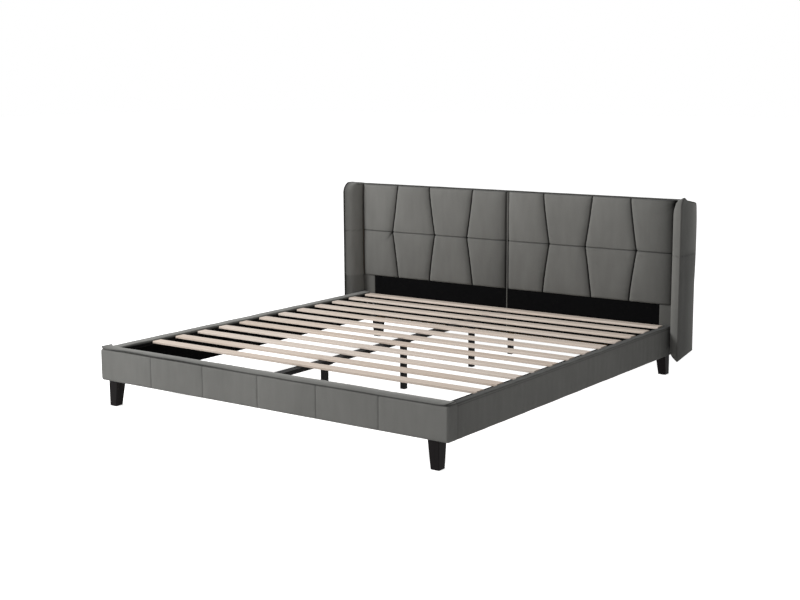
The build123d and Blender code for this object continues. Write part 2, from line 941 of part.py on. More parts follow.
glides = [square_glide(y) for y in (*centre_leg_y, head_leg_y)]
studs = [rod((0, head_leg_y, stud_start_z), (0, 0, 1), leg_stud_diameter, leg_stud_length)]
for y, outward in ((front_leg_y, -1), (rear_leg_y, 1)):
    foot_shift = (leg_top_size - leg_foot_size) / 2
    for _, side in SIDES:
        glide_place = (side * (leg_centre_x + foot_shift), y + outward * foot_shift, 0)
        glides.append(rod(glide_place, (0, 0, 1), leg_glide_diameter, leg_glide_height))
        stud_place = (side * leg_centre_x, y, stud_start_z)
        studs.append(rod(stud_place, (0, 0, 1), leg_stud_diameter, leg_stud_length))
save("leg_glides", *glides)
save("leg_studs", *studs)
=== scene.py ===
# %% [markdown]
# # A tufted bed dressed in velvet
#
# A bed like this is a set of boards, steel and slats with soft covers sewn and stapled over them. The
# boards, the steel and the slats come ready as a fixed frame, each at its real place. This lesson dresses
# them: it sets the camera and the light, mixes the finishes, and works out every soft cover as a surface
# over two numbers.

# %% Load the frame
import math

import bmesh
import bpy
import numpy as np
from mathutils import Matrix, Vector


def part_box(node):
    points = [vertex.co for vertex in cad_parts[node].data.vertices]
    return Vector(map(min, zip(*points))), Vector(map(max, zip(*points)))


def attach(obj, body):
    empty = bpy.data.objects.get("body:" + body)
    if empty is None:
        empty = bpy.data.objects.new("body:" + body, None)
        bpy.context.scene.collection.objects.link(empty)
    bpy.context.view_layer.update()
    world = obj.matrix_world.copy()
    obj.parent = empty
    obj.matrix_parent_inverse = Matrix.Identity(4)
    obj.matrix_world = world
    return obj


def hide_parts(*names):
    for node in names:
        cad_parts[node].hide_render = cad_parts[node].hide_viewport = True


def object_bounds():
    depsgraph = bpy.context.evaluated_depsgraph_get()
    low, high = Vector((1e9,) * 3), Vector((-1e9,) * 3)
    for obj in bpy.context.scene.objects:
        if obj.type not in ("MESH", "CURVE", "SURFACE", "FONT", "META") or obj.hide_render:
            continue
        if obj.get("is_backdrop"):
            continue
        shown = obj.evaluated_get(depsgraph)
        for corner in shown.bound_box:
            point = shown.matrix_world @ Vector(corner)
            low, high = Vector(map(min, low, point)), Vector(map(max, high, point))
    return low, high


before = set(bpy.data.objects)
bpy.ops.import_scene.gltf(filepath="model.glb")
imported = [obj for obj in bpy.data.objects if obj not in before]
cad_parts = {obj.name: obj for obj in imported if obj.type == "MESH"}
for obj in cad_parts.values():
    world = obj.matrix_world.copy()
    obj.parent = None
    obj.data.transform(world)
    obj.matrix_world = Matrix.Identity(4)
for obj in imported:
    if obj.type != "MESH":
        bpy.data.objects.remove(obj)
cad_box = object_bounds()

mm = 0.001
print("pieces in the frame:", len(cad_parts))

# %% [markdown]
# ## The camera
#
# The bed is seen from beyond its foot, from the right and a little above, through a long lens. A long
# lens keeps the far rails nearly parallel. The camera's place and turn are written as a real place and
# real angles, so a reader can walk round the bed in mind. The small roll is the tilt of the camera on its
# stand.

# %% Camera
camera_place = Vector((3.8869, -5.3787, 1.5703))
turn_left = math.radians(35.9365)
tilt_down = math.radians(9.5239)
roll = math.radians(-0.3468)
lens_length = 60.46

ahead = Vector((-math.sin(turn_left), math.cos(turn_left), 0)) * math.cos(tilt_down)
ahead.z = -math.sin(tilt_down)
level = Vector((math.cos(turn_left), math.sin(turn_left), 0))
upright = level.cross(ahead)
right = level * math.cos(roll) + upright * math.sin(roll)
up = upright * math.cos(roll) - level * math.sin(roll)

camera = bpy.data.objects.new("camera", bpy.data.cameras.new("camera"))
camera.data.lens = lens_length
camera.data.sensor_fit = "HORIZONTAL"
camera.matrix_world = Matrix.Translation(camera_place) @ Matrix((right, up, -ahead)).transposed().to_4x4()
bpy.context.scene.collection.objects.link(camera)
bpy.context.scene.camera = camera
print("camera looks along", [round(part, 3) for part in ahead])

# %% [markdown]
# ## Sums on sockets
#
# A finish is a small formula: how dark the pile is here, how deep the grain is there. Blender writes
# formulas as nodes, one box for each sign, which soon fills a screen. The first class wraps one output of
# a node, so that plain Python signs add the Math nodes. The second class is the finish itself, with one
# method for every other kind of node. It sets a node's own settings first, because some of them change
# which sockets the node has.

# %% Sockets with signs, and finishes
class Tone:
    """One number out of a node; Python's signs on it add Math nodes to its finish."""

    def __init__(self, finish, socket):
        self.finish = finish
        self.socket = socket

    def sign(self, operation, first, second):
        """A Math node of this operation on two values, as a new number."""
        return self.finish.node("ShaderNodeMath", {"operation": operation}, {0: first, 1: second})

    def __add__(self, other):
        return self.sign("ADD", self, other)

    def __radd__(self, other):
        return self.sign("ADD", other, self)

    def __sub__(self, other):
        return self.sign("SUBTRACT", self, other)

    def __rsub__(self, other):
        return self.sign("SUBTRACT", other, self)

    def __mul__(self, other):
        return self.sign("MULTIPLY", self, other)

    def __rmul__(self, other):
        return self.sign("MULTIPLY", other, self)


class Finish:
    """A material: fixed numbers go straight to the shader, and node() adds what varies."""

    def __init__(self, name, fixed):
        self.material = bpy.data.materials.new(name)
        self.material.use_nodes = True
        self.tree = self.material.node_tree
        self.shader = self.tree.nodes["Principled BSDF"]
        for socket, value in fixed.items():
            self.shader.inputs[socket].default_value = value

    def node(self, kind, settings, inputs, output=0):
        """Add a node of this kind: its settings first, then the values or links of its sockets."""
        made = self.tree.nodes.new(kind)
        for setting, value in settings.items():
            if setting == "stops":
                self.set_stops(made.color_ramp, value)
            else:
                setattr(made, setting, value)
        for place, value in inputs.items():
            socket = self.find(made.inputs, place)
            if isinstance(value, Tone):
                self.tree.links.new(value.socket, socket)
            else:
                socket.default_value = value
        return Tone(self, self.find(made.outputs, output))

    @staticmethod
    def find(sockets, place):
        """A socket by its number, or by its identifier where several share a name."""
        if isinstance(place, int):
            return sockets[place]
        return next(socket for socket in sockets if place in (socket.identifier, socket.name))

    @staticmethod
    def set_stops(colour_ramp, stops):
        """Give a colour ramp its stops, each a position and a colour."""
        while len(colour_ramp.elements) < len(stops):
            colour_ramp.elements.new(1.0)
        for element, (position, colour) in zip(colour_ramp.elements, stops):
            element.position = position
            element.color = (*colour, 1.0)

    def noise(self, stretch, detail=2.0, shift=(0.0, 0.0, 0.0)):
        """Soft random values, as many waves to the metre on each axis as stretch says."""
        here = self.node("ShaderNodeTexCoord", {}, {}, output="Object")
        moved = self.node("ShaderNodeMapping", {}, {"Vector": here, "Scale": stretch, "Location": shift})
        return self.node("ShaderNodeTexNoise", {}, {"Vector": moved, "Scale": 1.0, "Detail": detail})

    def place(self, axis):
        """The place on the object along one axis, in metres."""
        here = self.node("ShaderNodeTexCoord", {}, {}, output="Object")
        return self.node("ShaderNodeSeparateXYZ", {}, {"Vector": here}, output=axis)

    def blend(self, share, dark, light):
        """A colour between two others, each a triple or a colour from a node."""
        first, second = [c if isinstance(c, Tone) else (*c, 1.0) for c in (dark, light)]
        sockets = {"Factor_Float": share, "A_Color": first, "B_Color": second}
        return self.node("ShaderNodeMix", {"data_type": "RGBA"}, sockets, output="Result_Color")

    def relief(self, height, depth, strength=1.0):
        """A bump of this depth in metres, from a height between 0 and 1."""
        inputs = {"Height": height, "Distance": depth, "Strength": strength}
        return self.node("ShaderNodeBump", {}, inputs)

    def join(self, **parts):
        """Link what varies to the shader: colour, roughness and normal."""
        names = {"colour": "Base Color", "roughness": "Roughness", "normal": "Normal"}
        for part, tone in parts.items():
            self.tree.links.new(tone.socket, self.shader.inputs[names[part]])
        return self.material


# %% [markdown]
# ## Lamps
#
# The bed stands in a white studio. One large soft lamp high on the front left makes the tops brightest,
# then the fronts, and leaves the right side in soft shade, which is what shows the pile of velvet. A weak
# lamp on the right keeps that shade open. A square area lamp is the simplest soft light: the larger its
# side, the softer the edge of its shadow.

# %% Lamps
lamp_target = Vector((0.0, 0.0, 0.4))
lamp_side = 2.6
main_place = Vector((-4.4, -4.2, 4.6))
main_power = 455
side_place = Vector((5.2, -1.6, 2.0))
side_power = 22
white = (1.0, 1.0, 1.0, 1.0)
room_light = 0.24
floor_half = 40.0
floor_shade = 0.86
floor_glow = 0.86


def soft_lamp(name, place, power):
    """A square lamp of this power in watts, turned to the bed."""
    lamp = bpy.data.objects.new(name, bpy.data.lights.new(name, "AREA"))
    lamp.data.shape = "SQUARE"
    lamp.data.size = lamp_side
    lamp.data.energy = power
    turn = (lamp_target - place).to_track_quat("-Z", "Y").to_matrix().to_4x4()
    lamp.matrix_world = Matrix.Translation(place) @ turn
    bpy.context.scene.collection.objects.link(lamp)


soft_lamp("main_lamp", main_place, main_power)
soft_lamp("side_lamp", side_place, side_power)
print("lamps of", main_power, "and", side_power, "watts")

# %% [markdown]
# ## White all round
#
# The room and the floor have to look plain white and yet stay too weak to wash out the bed. A light path
# node tells who is looking: for the camera, a mirror or a glass the room shines at full strength, and for
# light that falls on the bed it shines only as strongly as the photo's soft fill. The floor glows by the
# same switch.

# %% Room and floor
def seen_directly(tree):
    """1 for what the camera, a mirror or a glass looks at, and 0 for light on the object."""
    path = tree.nodes.new("ShaderNodeLightPath")
    total = None
    for ray in ("Is Camera Ray", "Is Glossy Ray", "Is Transmission Ray"):
        if total is None:
            total = path.outputs[ray]
            continue
        larger = tree.nodes.new("ShaderNodeMath")
        larger.operation = "MAXIMUM"
        tree.links.new(total, larger.inputs[0])
        tree.links.new(path.outputs[ray], larger.inputs[1])
        total = larger.outputs[0]
    return total


room = bpy.data.worlds.new("room")
room.use_nodes = True
bpy.context.scene.world = room
backdrop = room.node_tree.nodes["Background"]
backdrop.inputs["Color"].default_value = white
strength = room.node_tree.nodes.new("ShaderNodeMapRange")
strength.inputs["To Min"].default_value = room_light
strength.inputs["To Max"].default_value = 1.0
room.node_tree.links.new(seen_directly(room.node_tree), strength.inputs["Value"])
room.node_tree.links.new(strength.outputs[0], backdrop.inputs["Strength"])

floor_mesh = bpy.data.meshes.new("floor")
floor_corners = [(x * floor_half, y * floor_half, 0.0) for x, y in ((-1, -1), (1, -1), (1, 1), (-1, 1))]
floor_mesh.from_pydata(floor_corners, [], [(0, 1, 2, 3)])
floor = bpy.data.objects.new("floor", floor_mesh)
bpy.context.scene.collection.objects.link(floor)
floor_fixed = {"Base Color": (*[floor_shade] * 3, 1.0), "Roughness": 0.9, "Specular IOR Level": 0.1}
floor_finish = Finish("studio_floor", {**floor_fixed, "Emission Color": white})
glow = floor_finish.tree.nodes.new("ShaderNodeMapRange")
glow.inputs["To Max"].default_value = floor_glow
floor_finish.tree.links.new(seen_directly(floor_finish.tree), glow.inputs["Value"])
floor_finish.tree.links.new(glow.outputs[0], floor_finish.shader.inputs["Emission Strength"])
floor_mesh.materials.append(floor_finish.material)
floor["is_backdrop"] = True
bpy.context.scene.view_settings.view_transform = "Standard"
print("floor", 2 * floor_half, "m wide, room light", room_light)

# %% [markdown]
# ## Velvet
#
# Velvet is a short dense pile. Seen straight on, the eye looks between the hairs and it is darker; seen
# along the cloth, the hairs catch the light and it is paler, which the shader's sheen does. Hands and
# packing press the pile this way and that, so the colour drifts in soft upright clouds, and a fine grain
# stands for the hair ends.
#
# Much of the light and shade on the covers is painted into the velvet's colour. Every soft piece may carry
# a number at each of its points for it: 0 is the plain cloth, -1 is painted shade, black as in a deep seam,
# and +1 is painted light, twice as pale. The finish only multiplies its colour by it.

# %% Velvet
velvet_dark = (0.112, 0.111, 0.104)
velvet_light = (0.226, 0.225, 0.213)


def velvet(name, share=1.0):
    """Two noises for the brushed clouds and one for the hair ends, times one plus the painted light and
    shade.
    """
    inputs = {"Specular IOR Level": 0.12, "Sheen Weight": 0.22 * share, "Sheen Roughness": 0.45}
    finish = Finish(name, inputs)
    finish.shader.inputs["Sheen Tint"].default_value = (0.93, 0.94, 0.92, 1.0)
    clouds = finish.noise((3.0, 3.0, 1.6), 3.0)
    brushed = finish.noise((26.0, 26.0, 6.0), 3.0, (4.0, 1.0, 2.0))
    hairs = finish.noise((850.0, 850.0, 420.0), 2.0)
    dark, light = [tuple(2 * share * part for part in colour) for colour in (velvet_dark, velvet_light)]
    cloth = finish.blend(clouds * 0.55 + brushed * 0.40 + hairs * 0.35 - 0.15, dark, light)
    # Painted light and shade, read from the piece's points; 0 where a piece has none.
    laid = finish.node("ShaderNodeAttribute", {"attribute_name": "laid"}, {}, output="Fac")
    return finish.join(
        colour=finish.blend(laid * 0.5 + 0.5, (0.0, 0.0, 0.0), cloth),
        roughness=0.78 + 0.16 * brushed,
        normal=finish.relief(hairs * 0.7 + brushed * 0.3, 0.5 * mm, 0.45),
    )


velvet_finish = velvet("velvet")
# A darker copy, at half the colour and sheen, paints shade on the top bands, their cords and the wing cords.
shaded_velvet_finish = velvet("velvet_painted_shade", 0.5)
print("mixed velvet for the covers and for the edges")

# %% [markdown]
# ## Black lining
#
# Inside the bay and behind the headboard the maker uses a cheap black felted cloth, pressed with a grid
# of small dots so that its loose threads hold together. It is nearly black and has no gloss. The dots are
# a product of two sine waves, one along the cloth and one up it.

# %% Black lining
dot_pitch = 2.2 * mm


def lining(name):
    """Pressed dots: the sine along the cloth times the sine up it, over a mottled ground."""
    finish = Finish(name, {"Specular IOR Level": 0.03, "Roughness": 0.95})
    waves = 2 * math.pi / dot_pitch
    along = finish.place("X") + finish.place("Y")
    across = finish.node("ShaderNodeMath", {"operation": "SINE"}, {0: along * waves})
    upward = finish.node("ShaderNodeMath", {"operation": "SINE"}, {0: finish.place("Z") * waves})
    dots = across * upward * 0.5 + 0.5
    mottle = finish.noise((60.0, 60.0, 60.0), 4.0)
    return finish.join(
        colour=finish.blend(mottle * 0.7 + dots * 0.3, (0.0024, 0.0024, 0.0026), (0.0064, 0.0064, 0.0068)),
        normal=finish.relief(dots * 0.6 + mottle * 0.4, 0.35 * mm, 0.5),
    )


lining_finish = lining("black_lining")
print("mixed black lining with dots every", dot_pitch, "m")

# %% [markdown]
# ## Wood
#
# The slats are pale poplar, sawn along the tree, so the grain runs along each slat in long streaks. Every
# slat is cut from another plank: its own shade comes from its number, counted along the bed from its
# place. The hidden boards are pressed from chips, so they are speckled and have no grain direction. At
# the headboard's two ends the velvet is folded round the frame, and the wing boards beyond are wrapped in
# it all over, so from there outwards the board has the tone of the cloth.

# %% Slats and boards
slat_rows = [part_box(f"slat_{number:02d}") for number in range(1, 13)]
slat_pitch = (slat_rows[-1][0].y - slat_rows[0][0].y) / (len(slat_rows) - 1)
slat_start = slat_rows[0][0].y - slat_pitch / 2


def slat_wood(name):
    """Long streaks along X over a shade of the slat's own, with fine pores."""
    finish = Finish(name, {"Specular IOR Level": 0.25})
    streaks = finish.noise((1.6, 95.0, 60.0), 4.0)
    bands = finish.noise((0.9, 24.0, 20.0), 2.0, (3.0, 7.0, 1.0))
    pores = finish.noise((30.0, 900.0, 700.0), 2.0)
    number = (finish.place("Y") - slat_start) * (1 / slat_pitch)
    count = finish.node("ShaderNodeMath", {"operation": "FLOOR"}, {0: number})
    own = finish.node("ShaderNodeTexWhiteNoise", {"noise_dimensions": "1D"}, {"W": count}, output="Value")
    share = streaks * 0.60 + bands * 0.45 + own * 0.30 - 0.18
    stops = [(0.18, (0.67, 0.550, 0.455)), (0.5, (0.79, 0.680, 0.590)), (0.82, (0.86, 0.775, 0.700))]
    colour = finish.node("ShaderNodeValToRGB", {"stops": stops}, {"Fac": share})
    shaded = finish.blend(pores * 0.16, colour, (0.52, 0.41, 0.32))
    return finish.join(
        colour=shaded,
        roughness=0.52 + 0.22 * streaks,
        normal=finish.relief(streaks * 0.5 + pores * 0.5, 0.25 * mm, 0.5),
    )


wrapped_skin = 0.4 * mm
wrapped_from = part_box("headboard_frame_right")[1].x - wrapped_skin
wrapped_tone = (0.11, 0.11, 0.103)


def chip_board(name):
    """Pressed chips: cells of random shade with dust between them, and cloth beyond the wrapped ends."""
    finish = Finish(name, {"Specular IOR Level": 0.2, "Roughness": 0.8})
    here = finish.node("ShaderNodeTexCoord", {}, {}, output="Object")
    chips = finish.node("ShaderNodeTexVoronoi", {}, {"Vector": here, "Scale": 260.0}, output="Color")
    shade = finish.node("ShaderNodeSeparateColor", {}, {"Color": chips})
    dust = finish.noise((90.0, 90.0, 90.0), 4.0)
    chipped = finish.blend(shade * 0.6 + dust * 0.4, (0.26, 0.17, 0.095), (0.50, 0.37, 0.23))
    aside = finish.node("ShaderNodeMath", {"operation": "ABSOLUTE"}, {0: finish.place("X")})
    wrapped = finish.node("ShaderNodeMath", {"operation": "GREATER_THAN"}, {0: aside, 1: wrapped_from})
    return finish.join(
        colour=finish.blend(wrapped, chipped, wrapped_tone),
        normal=finish.relief(shade, 0.2 * mm, 0.4),
    )


slat_finish = slat_wood("poplar_slat")
board_finish = chip_board("chip_board")
print("mixed poplar for", len(slat_rows), "slats at a pitch of", round(slat_pitch, 4), "m, and chip board")

# %% [markdown]
# ## Legs, steel and small parts
#
# The corner legs are beech under black lacquer: the grain is filled, but long soft streaks still show in
# the gloss. The slat ledges are rough wood under flat black stain, with no gloss at all. The beam and its
# legs have black powder coat, which dries with a faint orange peel. Bolts and screws are zinc plated,
# with the cloudy patches that plating leaves. The glides are moulded plastic.

# %% Lacquer, powder coat, zinc and plastic
def lacquer(name):
    """Black lacquer over wood: streaks along the leg in colour and in the gloss."""
    finish = Finish(name, {"Specular IOR Level": 0.06})
    grain = finish.noise((130.0, 130.0, 9.0), 4.0)
    return finish.join(
        colour=finish.blend(grain, (0.0050, 0.0042, 0.0044), (0.0125, 0.0105, 0.0110)),
        roughness=0.42 + 0.2 * grain,
        normal=finish.relief(grain, 0.15 * mm, 0.35),
    )


def black_stain(name):
    """Flat black stain over rough wood: streaks along the ledge and no gloss."""
    finish = Finish(name, {"Specular IOR Level": 0.0, "Roughness": 0.95})
    grain = finish.noise((90.0, 6.0, 90.0), 4.0)
    return finish.join(
        colour=finish.blend(grain, (0.0030, 0.0028, 0.0028), (0.0085, 0.0080, 0.0078)),
        normal=finish.relief(grain, 0.2 * mm, 0.4),
    )


def powder_coat(name):
    """Black powder coat: fine orange peel, a little worn in places."""
    finish = Finish(name, {"Specular IOR Level": 0.06})
    peel = finish.noise((420.0, 420.0, 420.0), 2.0)
    patches = finish.noise((14.0, 14.0, 14.0), 3.0)
    return finish.join(
        colour=finish.blend(patches, (0.0060, 0.0060, 0.0065), (0.0150, 0.0150, 0.0155)),
        roughness=0.42 + 0.16 * patches,
        normal=finish.relief(peel, 0.12 * mm, 0.4),
    )


def zinc(name):
    """Zinc plate: bright metal with cloudy patches."""
    finish = Finish(name, {"Metallic": 1.0})
    clouds = finish.noise((180.0, 180.0, 180.0), 3.0)
    return finish.join(
        colour=finish.blend(clouds, (0.44, 0.44, 0.46), (0.66, 0.65, 0.62)),
        roughness=0.28 + 0.25 * clouds,
        normal=finish.relief(clouds, 0.05 * mm, 0.3),
    )


def plastic(name):
    """Dark moulded plastic with a fine texture."""
    finish = Finish(name, {"Specular IOR Level": 0.4})
    fine = finish.noise((900.0, 900.0, 900.0), 2.0)
    return finish.join(
        colour=finish.blend(fine, (0.010, 0.010, 0.011), (0.022, 0.022, 0.023)),
        roughness=0.45 + 0.15 * fine,
        normal=finish.relief(fine, 0.05 * mm, 0.4),
    )


lacquer_finish = lacquer("black_lacquer")
stain_finish = black_stain("black_stain")
steel_finish = powder_coat("powder_coat")
zinc_finish = zinc("zinc_plate")
plastic_finish = plastic("glide_plastic")
print("mixed lacquer, stain, powder coat, zinc and plastic")

# %% [markdown]
# ## Dressing the hard parts
#
# The hard pieces already have their true shape, so each one only needs its finish. The list goes from a
# word in the piece's name to the finish, and the first word that fits wins. The names of the headboard
# and the footboard hold the word board too, so their soft pieces skip that line and get cloth.

# %% Finishes for the hard parts
finish_by_word = (
    ("slat_ledge", stain_finish),
    ("ledge_screws", steel_finish),
    ("slat_grip", stain_finish),
    ("slat_", slat_finish),
    ("glides", plastic_finish),
    ("screws", zinc_finish),
    ("bolts", zinc_finish),
    ("studs", zinc_finish),
    ("corner_leg", lacquer_finish),
    ("centre_leg", steel_finish),
    ("beam", steel_finish),
    ("brackets", steel_finish),
    ("straps", steel_finish),
    ("board", board_finish),
    ("frame", board_finish),
    ("lining", lining_finish),
    ("back_cover", lining_finish),
    ("", velvet_finish),
)
soft_words = ("cover", "lining", "pad", "band")
for node_name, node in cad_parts.items():
    soft = any(word in node_name for word in soft_words)
    fitting = [finish for word, finish in finish_by_word
               if word in node_name and not (soft and word == "board")]
    node.data.materials.clear()
    node.data.materials.append(fitting[0])
print("dressed", len(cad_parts), "hard and inner pieces")

# %% [markdown]
# ## Surfaces from numbers
#
# Every soft cover below is a grid of points worked out with numpy. A cover has a front and a back of the
# same grid, and a wall along the rim that they share, so it is one closed skin. Sharp folds need points
# close together, so the spacing helper crowds the points at both ends of a stretch. A cord or a band is
# made of rings of points instead, one ring after another along it.

# %% Grids, rings and skins
def spaced(count, crowd=0.7):
    """count + 1 shares from 0 to 1, crowded at both ends: a mix of half a cosine wave and even steps."""
    even = np.linspace(0, 1, count + 1)
    return crowd * (1 - np.cos(np.pi * even)) / 2 + (1 - crowd) * even


def stretches(stops, counts, crowd=0.7):
    """Places along a line with stops on it, crowded at every stop."""
    runs = [a + (b - a) * spaced(n, crowd)[:-1] for a, b, n in zip(stops, stops[1:], counts)]
    return np.concatenate([*runs, [stops[-1]]])


def quads(index):
    """The four-sided faces between the rows and columns of a grid of point numbers."""
    corners = (index[:-1, :-1], index[:-1, 1:], index[1:, 1:], index[1:, :-1])
    return np.stack(corners, axis=-1).reshape(-1, 4)


def ring_quads(count, around):
    """The faces between rings of points: each ring is a row whose last point joins its first."""
    index = np.arange(count * around).reshape(count, around)
    return quads(np.concatenate([index, index[:, :1]], axis=1))


def capped_rings(count, around):
    """The faces between rings, and a flat face at each end."""
    first, last = range(around), range((count - 1) * around, count * around)
    return ring_quads(count, around).tolist() + [list(first), list(last)]


def skin(front, back):
    """The closed skin of two grids: both grids, and a wall along their rim."""
    index = np.arange(front.shape[0] * front.shape[1]).reshape(front.shape[:2])
    rim = np.concatenate([index[0, :-1], index[:-1, -1], index[-1, :0:-1], index[:0:-1, 0]])
    onward = np.roll(rim, -1)
    far = index.size
    walls = np.stack([rim, onward, onward + far, rim + far], axis=-1)
    cells = quads(index)
    points = np.concatenate([front.reshape(-1, 3), back.reshape(-1, 3)])
    return points, np.concatenate([cells, cells[:, ::-1] + far, walls])


def join_skins(*skins):
    """Several lists of points, each with its faces, as one list of points and one of faces."""
    points, faces, start = [], [], 0
    for some_points, some_faces in skins:
        points.append(some_points)
        faces.extend((np.asarray(some_faces) + start).tolist())
        start += len(some_points)
    return np.concatenate(points), faces


print("six steps, crowded at both ends:", spaced(6).round(2))

# %% [markdown]
# ## From points to a piece
#
# The points and faces become a mesh in one call. Points that lie on each other are merged, so that the
# skin is closed, and the faces are turned outwards. Soft shading hides the facets, and edges above a set
# angle stay sharp. The painted light and shade go with each point to the velvet's finish. Last, the piece
# is parented to the body it rides on and gets its finish, and the plain solids it stands for are hidden.

# %% One piece
merge_within = 0.01 * mm


def make_piece(name, points, faces, finish, stands_for=(), laid=None, sharp_from=70):
    """One object from points and faces: doubles merged, faces turned outwards, soft shading, painted light
    stored.
    """
    mesh = bpy.data.meshes.new(name)
    mesh.from_pydata(np.asarray(points), [], faces)
    # The painted light and shade go with every point as an attribute.
    if laid is not None:
        painted_values = np.broadcast_to(np.asarray(laid, np.float32).ravel(), len(points))
        attribute = mesh.attributes.new("laid", "FLOAT", "POINT")
        attribute.data.foreach_set("value", np.ascontiguousarray(painted_values))
    work = bmesh.new()
    work.from_mesh(mesh)
    bmesh.ops.remove_doubles(work, verts=work.verts, dist=merge_within)
    loose = [vertex for vertex in work.verts if not vertex.link_faces]
    bmesh.ops.delete(work, geom=loose, context="VERTS")
    bmesh.ops.recalc_face_normals(work, faces=work.faces)
    work.to_mesh(mesh)
    work.free()
    mesh.polygons.foreach_set("use_smooth", np.ones(len(mesh.polygons), bool))
    mesh.set_sharp_from_angle(angle=math.radians(sharp_from))
    mesh.materials.append(finish)
    piece = bpy.data.objects.new(name, mesh)
    bpy.context.scene.collection.objects.link(piece)
    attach(piece, "root")
    if stands_for:
        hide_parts(*stands_for)
    print(f"{name}: {len(mesh.polygons)} faces")
    return piece


# %% [markdown]
# ## Folds, seams and slack
#
# A few shapes make padding look sewn. A seam pulls the cloth down steeply and lets it rise in a soft
# curve: a parabola does that. Slack cloth ripples: a few sine waves with random directions, from a fixed
# seed, do that. A pucker is a short crease that starts at a tuft and fades out. A bell marks a narrow
# line, a fade dies away from an edge, and a ramp says how far along something is.

# %% Rise, bell, fade, ramp, ripple and crease
def rise(distance, reach):
    """0 at a seam and 1 from reach on, steep at first: 1 less the square of what is left."""
    return 1 - (1 - np.clip(distance / reach, 0, 1)) ** 2


def bell(distance, width):
    """1 at nought, falling off on both sides over this width."""
    return np.exp(-((distance / width) ** 2))


def fade(distance, reach):
    """1 at nought, and with every reach further on about a third of what it was."""
    return np.exp(-distance / reach)


def ramp(distance, length):
    """0 up to nought, 1 from this length on, and even in between."""
    return np.clip(distance / length, 0, 1)


def ripple(first, second, seed, wave, count=8):
    """Slack cloth, about -1 to 1: the sum of sine waves of random directions round one wave length."""
    chance = np.random.default_rng(seed)
    total = np.zeros(np.broadcast(first, second).shape)
    for _ in range(count):
        angle = chance.uniform(0, np.pi)
        length = wave * chance.uniform(0.6, 1.6)
        phase = chance.uniform(0, 6.3)
        total += np.sin(2 * np.pi * (first * np.cos(angle) + second * np.sin(angle)) / length + phase)
    return total / math.sqrt(count)


def crease(first, second, start, angle, length, width):
    """A fold from a start at an angle in degrees: a bell across it that fades out along its length."""
    turn = np.radians(angle)
    along = (first - start[0]) * np.cos(turn) + (second - start[1]) * np.sin(turn)
    aside = (second - start[1]) * np.cos(turn) - (first - start[0]) * np.sin(turn)
    share = ramp(along, length)
    left = np.where(along < 0, fade(-along, width), (1 - share) ** 1.5)
    return left * bell(aside, width * (0.6 + share))


print("half way up a seam's slope the cloth has risen to", rise(0.5, 1))

# %% [markdown]
# ## The tufted pads: the grid
#
# Each half of the headboard carries one pad: eight pillows between a level seam and three seams that
# zigzag about it. The seams part the pad into columns. Every column of the grid follows them, so a sharp
# seam always runs along the grid's lines and never across its cells. The left pad is the right one
# mirrored, with folds of its own.

# %% Seams that part the pad
pad_low, pad_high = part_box("headboard_pad_right")
wing_low, wing_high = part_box("wing_cover_right")
seam_shares = (0.225, 0.515, 0.735)
seam_zigzag = 38 * mm
seam_bow = 1.2
pad_lift = 3 * mm
pad_overlap = 1 * mm
wing_swell = 10 * mm
pillow_columns = 54
pillow_rows = 64

pad_top = pad_high.z + pad_lift
pad_middle = (pad_low.z + pad_high.z) / 2
pad_outer = wing_low.x - wing_swell + pad_overlap
seam_ends = np.array([pad_low.x, *(share * wing_low.x for share in seam_shares), pad_outer])
zigzag = np.array([0, seam_zigzag, -seam_zigzag, seam_zigzag, 0])
tufts = seam_ends + zigzag
pad_heights = stretches((pad_low.z, pad_middle, pad_top), (pillow_rows, pillow_rows), 0.88)[:, None]
sway = (1 - ramp(np.abs(pad_heights - pad_middle), pad_middle - pad_low.z)) ** seam_bow
pad_seams = seam_ends + zigzag * sway
last_pillow = len(seam_shares)
print("tufts at", tufts[1:-1].round(3), "m from the middle")

# %% [markdown]
# ## The tufted pads: how high the pillows swell
#
# The pad is a height over the headboard's face. From each zigzag seam it rises steeply for a few
# millimetres, where the thread pulls, and then softly towards the middle of the pillow. Beside the wing
# it rolls back in a wide curve that leaves a dark gap, and beside the middle joint it has a low flat
# strip. The height over a pillow is the product of the two sides. The level seam is only sewn, not
# pulled, so it is a shallow groove that deepens at the tufts.

# %% Heights beside the seams
seam_wall = 5 * mm
seam_shoulder = 34 * mm
seam_swell = 100 * mm
pad_gap = 8 * mm
gap_shoulder = 18 * mm
gap_swell = 46 * mm
edge_strip = 8 * mm
strip_roll = 3 * mm
seam_bed = 1.5 * mm
pad_puff = 2 * mm
pad_height = pad_high.y - seam_bed - pad_low.y + pad_puff
rim_roll = 10 * mm
rim_swell = 70 * mm
waist_reach = 24 * mm
groove_depth = 8 * mm
groove_reach = 6 * mm
tuft_reach = 20 * mm


def from_seam(distance):
    """The height beside a pulled seam: a steep wall, a soft shoulder and a long swell."""
    wall, shoulder = rise(distance, seam_wall), rise(distance, seam_shoulder)
    return 0.44 * wall + 0.34 * shoulder + 0.22 * rise(distance, seam_swell)


def from_outer_edge(distance):
    """The height beside the wing, where the pad rolls back and leaves a gap."""
    past = np.maximum(distance - pad_gap, 0)
    return 0.04 + 0.56 * rise(past, gap_shoulder) + 0.40 * rise(past, gap_swell)


def from_middle(distance):
    """The height beside the middle joint: a low strip along the joint, then a seam."""
    strip = 0.40 * rise(edge_strip - distance, strip_roll)
    return np.where(distance < edge_strip, strip, from_seam(np.maximum(distance - edge_strip, 0)))


def swollen(swell, aside, rim, from_level):
    """The pad's height: the swell, lower at the rim and at its waist, less the groove of the level seam."""
    height = pad_height * swell * (0.52 + 0.30 * rise(rim, rim_roll) + 0.18 * rise(rim, rim_swell))
    height = height * (1 - 0.10 * fade(from_level, waist_reach))
    groove = groove_depth * (0.75 + 0.5 * fade(aside, tuft_reach)) * (1 - rise(from_level, groove_reach))
    return height - groove * ramp(height, groove_depth)


print("the pillows stand", round(pad_height, 4), "m high at most")
